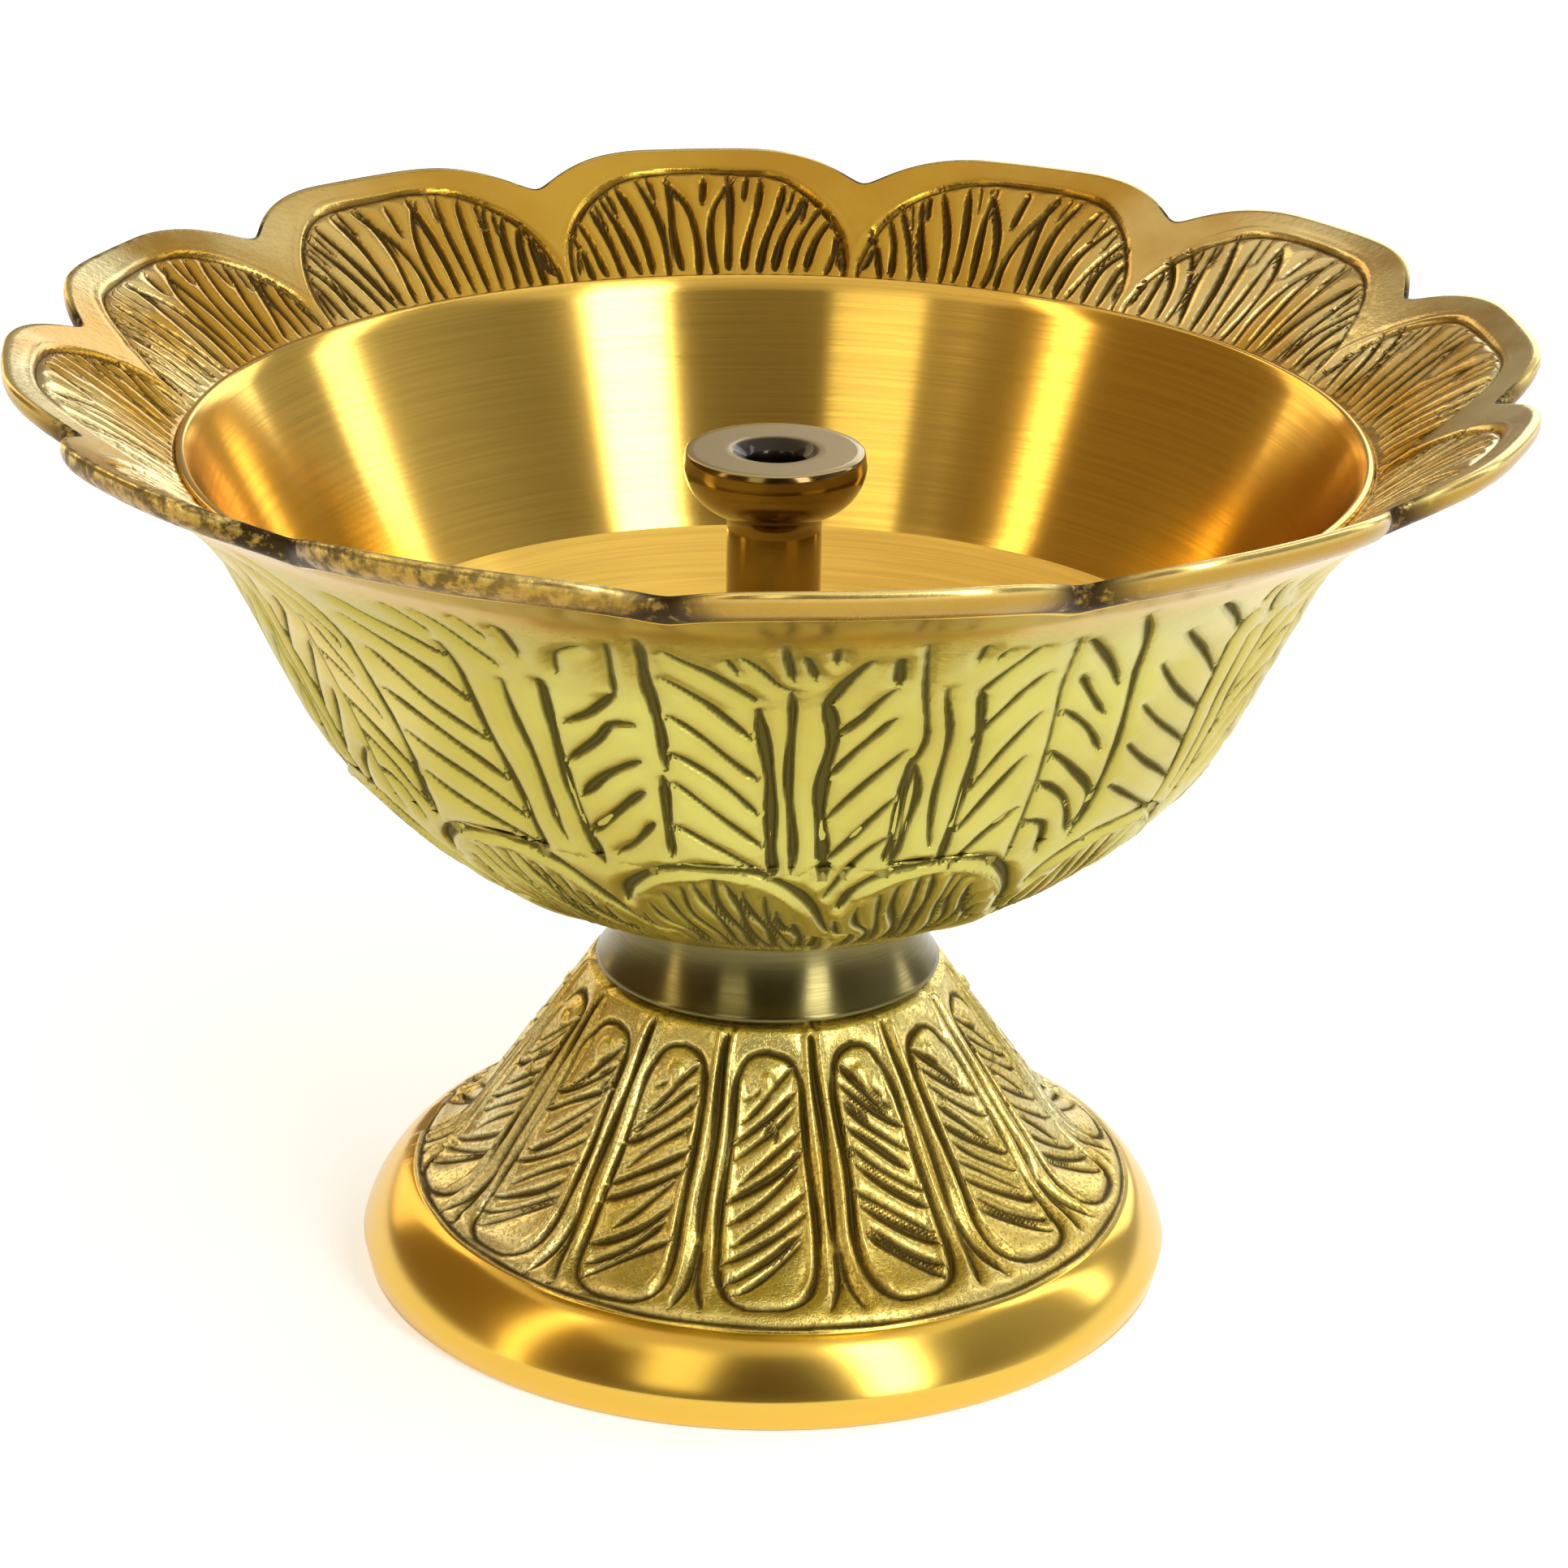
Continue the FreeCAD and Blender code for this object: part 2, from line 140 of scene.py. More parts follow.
def add(tree, kind, settings=None, *values, **named):
    """Adds a node: its settings first, then its sockets in order or by name. Returns its first output."""
    node = tree.nodes.new(kind)
    for key, setting in (settings or {}).items():
        setattr(node, key, setting)
    sockets = [socket for socket in node.inputs if socket.enabled]
    if sockets and sockets[0].is_multi_input:
        pairs = [(sockets[0], value) for value in reversed(values)]
    else:
        pairs = list(zip(sockets, values))
    for name, value in named.items():
        pairs.append((next(s for s in sockets if s.name == name.replace("_", " ")), value))
    for socket, value in pairs:
        if isinstance(value, Wire):
            tree.links.new(value.socket, socket)
        elif value is not None:
            socket.default_value = value
    return Wire(tree, next(socket for socket in node.outputs if socket.enabled))


def new_finish(name, **constants):
    """A material whose shader has these constants. Returns the material, its tree and its shader."""
    finish = bpy.data.materials.new(name)
    finish.use_nodes = True
    tree = finish.node_tree
    shader = tree.nodes["Principled BSDF"]
    for socket, value in constants.items():
        shader.inputs[socket.replace("_", " ")].default_value = value
    return finish, tree, shader


def feed(tree, shader, **wires):
    for socket, wire in wires.items():
        tree.links.new(wire.socket, shader.inputs[socket.replace("_", " ")])


def blend_colours(tree, factor, first, second):
    return add(tree, "ShaderNodeMix", {"data_type": "RGBA"}, factor, first, second)


def noise(tree, where, scale, detail=3.0, roughness=0.5):
    return add(tree, "ShaderNodeTexNoise", None, where, scale, detail, roughness)


def object_place(tree):
    return add(tree, "ShaderNodeTexCoord")["Object"]


def axes(tree, spot):
    return add(tree, "ShaderNodeSeparateXYZ", None, spot)


def off_axis(tree, spot):
    """Distance from the lamp's axis."""
    at = axes(tree, spot)
    return (at["X"] * at["X"] + at["Y"] * at["Y"]).math("SQRT")


def emboss(tree, shader, strength, depth, height):
    """Fine relief, too small for the mesh."""
    bump = add(tree, "ShaderNodeBump", None, Strength=strength, Distance=depth, Height=height)
    feed(tree, shader, Normal=bump)


# The room's own dim light is warmer from the left, and darkest from behind the viewer.
room = world.node_tree
sky = axes(room, add(room, "ShaderNodeTexCoord")["Generated"])
warm_left = blend_colours(room, sky["X"].ease(-0.6, 0.5), (0.62, 0.40, 0.15, 1), (1.0, 0.97, 0.90, 1))
dim_front = blend_colours(room, sky["Y"].ease(-0.9, -0.1), (0.20, 0.15, 0.07, 1), warm_left)
feed(room, room.nodes["Background"], Color=dim_front)

table_finish, tree, shader = new_finish("pale_table", Roughness=0.9, Specular_IOR_Level=0.1,
                                        Emission_Strength=0.45)
cloud = noise(tree, object_place(tree), 3.0)
paper = blend_colours(tree, cloud, (0.90, 0.93, 0.98, 1), (0.92, 0.95, 1.0, 1))
feed(tree, shader, Base_Color=paper, Emission_Color=paper)
TABLE_SIDE = 8.0
half = TABLE_SIDE / 2
table_mesh = bpy.data.meshes.new("table")
table_corners = [(-half, -half, 0), (half, -half, 0), (half, half, 0), (-half, half, 0)]
table_mesh.from_pydata(table_corners, [], [(0, 1, 2, 3)])
table_mesh.materials.append(table_finish)
table = bpy.data.objects.new("table", table_mesh)
bpy.context.scene.collection.objects.link(table)


# ---------------------------------------------------------------------------------------------------------
# The pedestal. A hollow flared foot, cast in brass: fourteen leaf panels are chased into its cone on a
# stippled ground, a hand-cut line closes them off, and the ring below is turned and polished like a mirror.
# ---------------------------------------------------------------------------------------------------------
def arc_centre(start, end, radius, bulge_left):
    """Centre of the arc from start to end that bulges to its left or to its right."""
    (x0, z0), (x1, z1) = start, end
    chord = math.hypot(x1 - x0, z1 - z0)
    rise = math.sqrt(radius ** 2 - chord ** 2 / 4) * (-1 if bulge_left else 1)
    return (x0 + x1) / 2 - (z1 - z0) / chord * rise, (z0 + z1) / 2 + (x1 - x0) / chord * rise


def arc(start, end, radius, bulge_left, steps):
    """Points of an arc in a section, after its start and up to its end."""
    cx, cz = arc_centre(start, end, radius, bulge_left)
    a0 = math.atan2(start[1] - cz, start[0] - cx)
    sweep = (math.atan2(end[1] - cz, end[0] - cx) - a0 + math.pi) % (2 * math.pi) - math.pi
    return [(cx + radius * math.cos(a0 + sweep * i / steps), cz + radius * math.sin(a0 + sweep * i / steps))
            for i in range(1, steps + 1)]


def run(start, end, steps):
    """Points of a straight run in a section, after its start and up to its end."""
    return [(start[0] + (end[0] - start[0]) * i / steps, start[1] + (end[1] - start[1]) * i / steps)
            for i in range(1, steps + 1)]


def path(*corners, step=2.0):
    """Points of straight runs through these corners, about a step apart."""
    points = [corners[0]]
    for start, end in zip(corners, corners[1:]):
        points += run(start, end, max(1, round(math.dist(start, end) / step)))
    return points


class Drawing:
    """The engraver's drawing: strokes laid flat, as angle round the lamp and length along the section.
    Each point's third value is the stroke's half width there. A raised bead's half width is negative."""

    def __init__(self, seed, length_at):
        self.hand = random.Random(seed)
        self.length_at = length_at
        self.points = []
        self.edges = []

    def stroke(self, corners, half_width, ends=(0.35, 0.35), wobble=0.12, radius=48.0, step=0.6):
        """A tapered stroke through its corners, given in degrees and millimetres, as a hand would cut it."""
        places = [(math.radians(a) * radius, length) for a, length in corners]
        places = [places[0]] + places + [places[-1]]
        line = []
        for p0, p1, p2, p3 in zip(places, places[1:], places[2:], places[3:]):
            count = max(2, round(math.dist(p1, p2) / step))
            for i in range(count):
                t = i / count
                line.append(tuple(0.5 * (2 * b + (c - a) * t + (2 * a - 5 * b + 4 * c - d) * t ** 2
                                         + (3 * b - a - 3 * c + d) * t ** 3)
                                  for a, b, c, d in zip(p0, p1, p2, p3)))
        line.append(places[-1])
        phase, pitch = self.hand.uniform(0, 6.28), self.hand.uniform(3.5, 6.0)
        swell = self.hand.uniform(0.85, 1.15)
        first = len(self.points)
        for i, (x, y) in enumerate(line):
            t = i / (len(line) - 1)
            tip = min(1.0, ends[0] + t * 4, ends[1] + (1 - t) * 4)
            beat = 1 + 0.18 * math.sin(phase + i * step / 1.3)
            sway = wobble * math.sin(phase + i * step * 2 / pitch)
            length = self.length_at(y + sway * 0.6)
            self.points.append(((x + sway) / radius, length * MM, half_width * tip * beat * swell * MM))
            if i:
                self.edges.append((first + i - 1, first + i))

    def mesh(self, name):
        flat = bpy.data.meshes.new(name)
        flat.from_pydata(self.points, self.edges, [])
        return flat


def vector(tree, x, y, z):
    return add(tree, "ShaderNodeCombineXYZ", None, x, y, z)


def keep(tree, geometry, label, value, kind="FLOAT"):
    """Keeps a value on every point of a geometry, under a label."""
    return add(tree, "GeometryNodeStoreNamedAttribute", {"data_type": kind, "domain": "POINT"},
               geometry, None, label, value)


def kept(tree, label, kind="FLOAT"):
    return add(tree, "GeometryNodeInputNamedAttribute", {"data_type": kind}, label)


def look_up(tree, geometry, value, index, kind="FLOAT"):
    return add(tree, "GeometryNodeSampleIndex", {"data_type": kind, "domain": "POINT"}, geometry, value, index)


def turned_tree(name, reshape=None):
    """A Geometry Nodes tree that turns a section round the lamp's axis and cuts a drawing into it."""
    tree = bpy.data.node_groups.new(name, "GeometryNodeTree")
    for label, kind in (("Drawing", "Geometry"), ("Section", "Object"), ("Columns", "Int"), ("Rows", "Int"),
                        ("Groove Depth", "Float"), ("Groove Shoulder", "Float"), ("Bead Height", "Float"),
                        ("Unevenness", "Float"), ("Change Row", "Int"), ("First Finish", "Material"),
                        ("Last Finish", "Material"), ("Lumpy First", "Bool")):
        tree.interface.new_socket(label, in_out="INPUT", socket_type="NodeSocket" + kind)
    tree.interface.new_socket("Piece", in_out="OUTPUT", socket_type="NodeSocketGeometry")
    given = Wire(tree, tree.nodes.new("NodeGroupInput").outputs[0])
    spline = add(tree, "GeometryNodeObjectInfo", None, given["Section"])["Geometry"]
    place = add(tree, "GeometryNodeInputPosition")

    def round_axis(angle, spot):
        at = axes(tree, spot)
        reach, height = at["X"], at["Z"]
        if reshape:
            reach, height = reshape(angle, reach, height)
        return vector(tree, angle.math("SINE") * reach, angle.math("COSINE") * reach * -1.0, height)

    flat = add(tree, "GeometryNodeMeshGrid", None, 1.0, 1.0, given["Columns"] + 1.0, given["Rows"])
    across = axes(tree, place)
    row = ((across["Y"] + 0.5) * (given["Rows"] - 1.0)).math("ROUND")
    flat = keep(tree, flat, "row", row)
    row = kept(tree, "row")
    spot = look_up(tree, spline, place, row, "FLOAT_VECTOR")
    sheet = add(tree, "GeometryNodeSetPosition", None, flat,
                Position=round_axis((across["X"] + 0.5) * (2 * math.pi), spot))
    sheet = add(tree, "GeometryNodeMergeByDistance", None, sheet, Distance=0.002 * MM)

    drawn = axes(tree, place)
    lines = keep(tree, given, "half width", drawn["Z"])
    along = add(tree, "GeometryNodeSampleCurve", {"mode": "LENGTH"}, spline, Length=drawn["Y"])["Position"]
    lines = add(tree, "GeometryNodeSetPosition", None, lines, Position=round_axis(drawn["X"], along))
    lines = add(tree, "GeometryNodeMeshToCurve", None, lines)
    lines = keep(tree, lines, "heading", add(tree, "GeometryNodeInputTangent"), "FLOAT_VECTOR")
    lines = add(tree, "GeometryNodeCurveToMesh", None, lines)
    half_width, heading = kept(tree, "half width"), kept(tree, "heading", "FLOAT_VECTOR")
    normal = add(tree, "GeometryNodeInputNormal")

    def gap(strokes):
        """For a place on the sheet, in metres: its distance from the nearest stroke's middle line, the
        same with a sign for the side that it lies on, and the stroke's half width there."""
        near = add(tree, "GeometryNodeProximity", {"target_element": "EDGES"}, strokes)
        index = add(tree, "GeometryNodeSampleNearest", {"domain": "POINT"}, strokes, near)
        width = look_up(tree, strokes, half_width, index)
        way = look_up(tree, strokes, heading, index, "FLOAT_VECTOR")
        away = add(tree, "ShaderNodeVectorMath", {"operation": "SUBTRACT"}, place, near)
        across = add(tree, "ShaderNodeVectorMath", {"operation": "CROSS_PRODUCT"}, way, normal)
        side = add(tree, "ShaderNodeVectorMath", {"operation": "DOT_PRODUCT"}, across, away)
        distance = near["Distance"] * near["Is Valid"] + (1.0 - near["Is Valid"])
        return distance, distance * side["Value"].math("SIGN"), width.math("ABSOLUTE")

    parts = add(tree, "GeometryNodeSeparateGeometry", {"domain": "POINT"},
                lines, half_width.math("GREATER_THAN", 0))
    distance, side, width = gap(parts)
    bead_distance, _, bead_width = gap(parts["Inverted"])
    for label, value in (("groove", distance - width), ("side", side), ("width", width),
                         ("bead", bead_distance - bead_width)):
        sheet = keep(tree, sheet, label, value * 1000.0)
    shoulder = given["Groove Shoulder"]
    groove, bead = kept(tree, "groove") * MM, kept(tree, "bead") * MM
    sunk = groove.ease(shoulder * -1.0, shoulder, 0.65, 0.0) + groove.ease(0.0, 1.5 * MM, 0.35, 0.0)
    sunk = sunk * given["Groove Depth"]
    raised = bead.ease(-0.3 * MM, 0.3 * MM, 1.0, 0.0) * given["Bead Height"]
    lumps = (noise(tree, place, 70.0, 2.0) - 0.5) * given["Unevenness"]
    late = row.math("GREATER_THAN", given["Change Row"] - 0.5)
    rise = raised - sunk + lumps * (late - given["Lumpy First"]).math("ABSOLUTE")
    sheet = add(tree, "GeometryNodeSetPosition", None, sheet,
                Offset=add(tree, "ShaderNodeVectorMath", {"operation": "SCALE"}, normal, Scale=rise))
    sheet = add(tree, "GeometryNodeRealizeInstances", None, sheet)
    sheet = add(tree, "GeometryNodeSetMaterial", None, sheet, None, given["First Finish"])
    sheet = add(tree, "GeometryNodeSetMaterial", None, sheet, late, given["Last Finish"])
    end = tree.nodes.new("NodeGroupOutput")
    tree.links.new(sheet.socket, end.inputs[0])
    return tree


def turn_piece(name, tree, points, drawing, **inputs):
    """Runs a turned tree over a section and a drawing, and keeps the result as a plain mesh piece."""
    curve = bpy.data.curves.new(name + "_section", "CURVE")
    curve.dimensions = "3D"
    spline = curve.splines.new("POLY")
    spline.points.add(len(points) - 1)
    for point, (x, z) in zip(spline.points, points):
        point.co = (x * MM, 0.0, z * MM, 1.0)
    guide = bpy.data.objects.new(name + "_section", curve)
    draft = bpy.data.objects.new(name + "_draft", drawing.mesh(name + "_drawing"))
    for item in (guide, draft):
        bpy.context.scene.collection.objects.link(item)
    modifier = draft.modifiers.new("turned", "NODES")
    modifier.node_group = tree
    inputs.update(Section=guide, Rows=len(points))
    for socket in tree.interface.items_tree:
        key = socket.name.replace(" ", "_")
        if key in inputs:
            modifier[socket.identifier] = inputs[key]
    seen = draft.evaluated_get(bpy.context.evaluated_depsgraph_get())
    mesh = bpy.data.meshes.new_from_object(seen)
    mesh.name = name
    mesh.shade_smooth()
    for item in (guide, draft):
        bpy.data.objects.remove(item)
    piece = bpy.data.objects.new(name, mesh)
    bpy.context.scene.collection.objects.link(piece)
    return piece


GOLD = (0.80, 0.52, 0.09, 1)
BUFFED_ROUGHNESS = 0.21


def brush_lines(tree, where, pitch, squash=40.0):
    """Fine turning lines: noise that changes fast up the axis and outwards, and slowly round it."""
    at = axes(tree, where)
    angle = at["Y"].math("ARCTAN2", at["X"])
    stretched = vector(tree, off_axis(tree, where) * pitch, at["Z"] * pitch, angle * (pitch / squash) * 0.03)
    return noise(tree, stretched, 1.0, 4.0, 0.6)


def chased_finish(name, light, deep, dark, roughness, stipple, polished=None, buffed=GOLD, painted_highlight_sides=None):
    """Cast brass that has been chased and then darkened: the patina stays in the grooves and the pits.
    Polished is a function that says, from 0 to 1, where the metal has been buffed instead, to a colour
    of its own. The pale sides are painted highlight: the colour turns paler towards the left and right,
    standing in for the lamps' reflections there. They give that colour, and where it starts and ends, in
    millimetres to the left and right of the middle."""
    finish, tree, shader = new_finish(name, Metallic=1.0)
    where = object_place(tree)
    groove, side, width = (add(tree, "ShaderNodeAttribute", {"attribute_name": label})["Fac"]
                           for label in ("groove", "side", "width"))
    crisp = (side.math("ABSOLUTE") - width).math("MAXIMUM", groove - 0.2)
    groove = groove + (crisp - groove) * (groove + width).ease(0.32, 0.52, 1.0, 0.0)
    drift = noise(tree, where, 45.0, 4.0)
    grain = noise(tree, where, 1400.0, 3.0, 0.65)
    pits = noise(tree, where, 2600.0, 2.0, 0.7)
    cut = groove + (grain - 0.5) * 0.16
    patina = cut.ease(-0.20, 0.22, 1.0, 0.0)
    # Painted highlight: the base colour is blended paler towards both sides, away from the middle, in place of
    # the lamps' reflections there.
    if painted_highlight_sides:
        pale, near, far = painted_highlight_sides
        aside = axes(tree, where)["X"].math("ABSOLUTE")
        light = blend_colours(tree, aside.ease(near * MM, far * MM), light, pale)
    haze = groove.ease(0.0, 0.9, 0.30, 0.0) * drift
    speck = (pits.ease(0.50, 0.62) * stipple).math("MINIMUM", 1.0)
    brass = blend_colours(tree, drift.ease(0.35, 0.65), light, deep)
    brass = blend_colours(tree, (haze + speck).math("MINIMUM", 1.0), brass, dark)
    brass = blend_colours(tree, patina, brass, dark)
    rough = patina * 0.3 + speck * 0.2 + (grain - 0.5) * 0.12 + roughness
    height = groove.ease(-0.35, 0.25) * 0.35 - speck * 0.06 + (grain - 0.5) * 0.05
    if polished:
        shine = polished(tree, where)
        brass = blend_colours(tree, shine, brass, buffed)
        rough = rough + (rough * -1.0 + BUFFED_ROUGHNESS) * shine
        height = height * (1.0 - shine)
    feed(tree, shader, Base_Color=brass, Roughness=rough)
    emboss(tree, shader, 0.8, MM, height)
    return finish


def mirror_finish(name, tint, roughness, pitch, streak):
    """Brass turned and buffed: bright, with the last faint turning lines still in it. They stretch
    every highlight across themselves, which is the streak."""
    finish, tree, shader = new_finish(name, Metallic=1.0, Anisotropic=streak, Anisotropic_Rotation=0.25)
    where = object_place(tree)
    lines = brush_lines(tree, where, pitch)
    drift = noise(tree, where, 30.0)
    shade = [c * 0.82 for c in tint[:3]] + [1]
    feed(tree, shader, Base_Color=blend_colours(tree, lines.ease(0.3, 0.7), tint, shade))
    feed(tree, shader, Roughness=(lines - 0.5) * 0.1 + (drift - 0.5) * 0.06 + roughness)
    emboss(tree, shader, 0.25, 0.02 * MM, lines)
    return finish


def length_of(points):
    return sum(math.dist(a, b) for a, b in zip(points, points[1:]))


STUD_HOLE_R = 3.2
DECK, CONE_END, RING_TOP, RING_SIDE = (16.9, 30.2), (28.3, 13.8), (32.4, 10.6), (38.8, 2.9)
DECK_UNDER, HOLLOW_SIDE, RING_INSIDE = 27.2, (25.9, 13.1), (34.6, 0.0)
foot_section = path((STUD_HOLE_R, DECK[1]), (STUD_HOLE_R, DECK_UNDER), (16.0, DECK_UNDER), HOLLOW_SIDE, step=6.0)
foot_section += arc(HOLLOW_SIDE, RING_INSIDE, 60.0, True, 5)
foot_section += path(RING_INSIDE, (37.8, 0.0), (38.3, 0.5), RING_SIDE, step=1.2)[1:]
foot_section += arc(RING_SIDE, RING_TOP, 12.0, False, 20)
ring_rows = len(foot_section)
foot_section += arc(RING_TOP, CONE_END, 9.5, True, 18)
foot_section += run(CONE_END, DECK, 72)
foot_length = length_of(foot_section)
foot_section += run(DECK, (STUD_HOLE_R, DECK[1]), 4)
LEAVES = 14
LEAF_STEP = 360 / LEAVES
FIRST_LEAF = -6.5
CONE_R = 26
foot_lines = Drawing(7, lambda down: foot_length - down)


def leaf(lines, middle, lean):
    """One chased leaf panel of the foot: outline, slanted veins, a small boss and the beads beside it."""
    hand = lines.hand
    top = 2.0 + hand.uniform(-0.3, 0.3)
    foot = 26.6 + hand.uniform(-0.4, 0.3)
    wide = 9.0 + hand.uniform(-0.5, 0.5)
    half_outline = [(0.0, top), (0.62, top + 0.7), (0.92, top + 3.2), (0.97, top + 9), (1.0, foot - 6),
                    (0.86, foot - 2), (0.5, foot - 0.3), (0.0, foot)]
    outline = half_outline + [(-x, y) for x, y in reversed(half_outline[:-1])]
    lines.stroke([(middle + x * wide, y) for x, y in outline], 0.25, (1, 1), 0.16, radius=CONE_R, step=0.45)
    for side in (-1, 1):
        edge = middle + side * wide
        inner = [(edge - side * 1.5, top + 2.5), (edge - side * 1.3, foot - 6), (edge - side * 3.2, foot - 1.8)]
        lines.stroke(inner, -0.22, (0.5, 0.5), 0.12, radius=CONE_R)
        outer = [(edge + side * 1.9, top - 1.5), (edge + side * 1.7, foot - 7), (edge + side * 0.9, foot - 1.0)]
        lines.stroke(outer, -0.26, (0.6, 0.5), 0.14, radius=CONE_R)
    lines.stroke([(middle - 0.2, 4.5), (middle + 0.2, 5.5)], -0.65, (0.8, 0.8), 0.0, radius=CONE_R)
    for i in range(10):
        low = min(8.6 + i * 1.9 + hand.uniform(-0.25, 0.25), foot - 1.6)
        high = low - 5.0
        reach = 0.86 if i % 3 else 0.6
        shift = hand.uniform(-0.12, 0.12)
        vein = [(middle - lean * (reach + shift) * wide, low),
                (middle + lean * 0.1 * wide, (low + high) / 2 - 0.3),
                (middle + lean * (0.74 + shift) * wide, high)]
        lines.stroke(vein, hand.uniform(0.16, 0.30), (0.25, 0.25), 0.2, radius=CONE_R)
    for _ in range(5):
        x, y = middle + hand.uniform(-0.8, 0.8) * wide, hand.uniform(6, 12)
        lines.stroke([(x, y), (x + lean * hand.uniform(0.4, 1.6), y - hand.uniform(0.3, 0.9))],
                     hand.uniform(0.10, 0.18), (0.4, 0.4), 0.05, radius=CONE_R)


for i in range(LEAVES):
    middle = FIRST_LEAF + i * LEAF_STEP
    leaf(foot_lines, middle, 1 if i == 0 or i > LEAVES // 2 else -1)
    between = middle + LEAF_STEP / 2
    foot_lines.stroke([(between, 0.6), (between, 20.5)], 0.30, (0.5, 0.4), 0.16, radius=CONE_R)
    for side in (-1, 1):
        foot_lines.stroke([(between, 20.0), (between + side * 0.9, 23.8), (between + side * 2.6, 26.6)],
                          0.24, (0.6, 0.2), 0.10, radius=CONE_R)

# The line that closes the leaves off runs a little off centre, and its radius is where the polish starts.
LINE_R, LINE_SHIFT_X, LINE_SHIFT_Y = 34.0, 0.6, -0.8
CONE_TO_RING, RING_FALL = 25.3, 0.83
line_points = []
for angle in range(0, 361, 4):
    turn = math.radians(angle)
    line_r = LINE_R + LINE_SHIFT_X * math.sin(turn) - LINE_SHIFT_Y * math.cos(turn)
    line_points.append((angle, CONE_TO_RING + (line_r - RING_TOP[0]) / RING_FALL))
foot_lines.stroke(line_points, 0.22, (1, 1), 0.08, radius=LINE_R, step=0.4)


def outside_line(tree, where):
    """1 outside the line that closes the leaves off, and 0 inside it."""
    at = axes(tree, where)
    x, y = at["X"] - LINE_SHIFT_X * MM, at["Y"] - LINE_SHIFT_Y * MM
    return (x * x + y * y).math("SQRT").ease((LINE_R + 0.1) * MM, (LINE_R + 0.6) * MM)


# The foot's brass is painted paler towards both sides, as painted highlight.
chased_foot = chased_finish("chased_foot_brass", (0.86, 0.72, 0.24, 1), (0.74, 0.56, 0.14, 1),
                            (0.12, 0.083, 0.018, 1), 0.32, 0.38, outside_line,
                            painted_highlight_sides=((0.95, 0.86, 0.48, 1), 8.0, 30.0))
turned = turned_tree("turned_and_chased")
pedestal = turn_piece("chased_pedestal", turned, foot_section, foot_lines,
                      Columns=720, Groove_Depth=0.52 * MM, Groove_Shoulder=0.32 * MM, Bead_Height=0.38 * MM,
                      Unevenness=0.22 * MM, Change_Row=ring_rows, First_Finish=chased_foot,
                      Last_Finish=chased_foot, Lumpy_First=False)
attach(pedestal, "lamp")
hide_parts("pedestal_base")


# ---------------------------------------------------------------------------------------------------------
# The neck collar. A plain brass ring turned on the lathe and left satin; it stands on the pedestal's deck
# over a narrow shadow groove, with a bright bevel at its foot, and carries the bowl.
# ---------------------------------------------------------------------------------------------------------
def plain_drawing():
    return Drawing(1, float)


COLLAR_TOP_R, COLLAR_FLANK_R = 14.0, 12.0
COLLAR_UNDERCUT, COLLAR_GROOVE, COLLAR_EDGE_UP = 0.85, 0.5, 0.85
collar_low, collar_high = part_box("neck_collar")[0].z / MM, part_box("neck_collar")[1].z / MM
collar_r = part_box("neck_collar")[1].x / MM
undercut_r, collar_edge = collar_r - COLLAR_UNDERCUT, (collar_r, collar_low + COLLAR_EDGE_UP)
collar_section = path((STUD_HOLE_R, collar_high), (STUD_HOLE_R, collar_low), (undercut_r, collar_low),
                      (undercut_r, collar_low + COLLAR_GROOVE), (collar_r - 0.4, collar_low + COLLAR_GROOVE),
                      (collar_r - 0.12, collar_low + 0.6), collar_edge, step=0.4)
collar_section += arc(collar_edge, (COLLAR_TOP_R, collar_high), COLLAR_FLANK_R, True, 18)
collar_section += path((COLLAR_TOP_R, collar_high), (STUD_HOLE_R, collar_high), step=4.0)[1:]
# The collar's satin brass gets a base colour far darker than brass: painted shade for the dark it reflects under
# the bowl. Its turning lines are its own.
collar_brass_painted_shade = mirror_finish("satin_collar_brass", (0.18, 0.153, 0.058, 1), 0.25, 3500.0, 0.75)
collar = turn_piece("turned_collar", turned, collar_section, plain_drawing(), Columns=256, Change_Row=0,
                    First_Finish=collar_brass_painted_shade, Last_Finish=collar_brass_painted_shade)
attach(collar, "lamp")
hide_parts("neck_collar")


# ---------------------------------------------------------------------------------------------------------
# The bowl. Cast with its petal rim in one piece. The outside is chased with trees of veins between ladder
# panels over a row of lotus arches; the inside is turned and brushed bright, up to a thin lip.
# ---------------------------------------------------------------------------------------------------------
SEAT, BELLY, FLARE = (15.4, 38.6), (44.6, 60.0), (51.9, 75.0)
BELLY_ARC, UNDER_ARC, TOP_ARC, INSIDE_ARC = 43.0, 38.8, 69.0, 37.0
TIP_R, TIP_UNDER, TIP_TOP = 70.0, 89.5, 92.0
LIP_R, LIP_Z, PETAL_FOOT = 53.9, 82.5, (54.7, 82.1)
FLOOR_R, FLOOR_Z = 12.0, 41.2
PETALS = 12
NOTCH_FALL, NOTCH_ROUNDING, PETAL_FLAT, SHOULDER_POWER = 5.4, 0.0035, 0.25, 2.4
under_centre = arc_centre(FLARE, (TIP_R, TIP_UNDER), UNDER_ARC, True)
top_centre = arc_centre(PETAL_FOOT, (TIP_R, TIP_TOP), TOP_ARC, True)


def petal_face(centre, radius, reach):
    """Height of a petal's top or under face at a distance from the axis, in millimetres."""
    return centre[1] + math.sqrt(radius ** 2 - (centre[0] - reach) ** 2)


def petal_level(reach, level):
    """A point inside a petal's metal: level 0 is the under face and 1 is the top face."""
    under = petal_face(under_centre, UNDER_ARC, reach)
    return reach, under + level * (petal_face(top_centre, TOP_ARC, reach) - under)


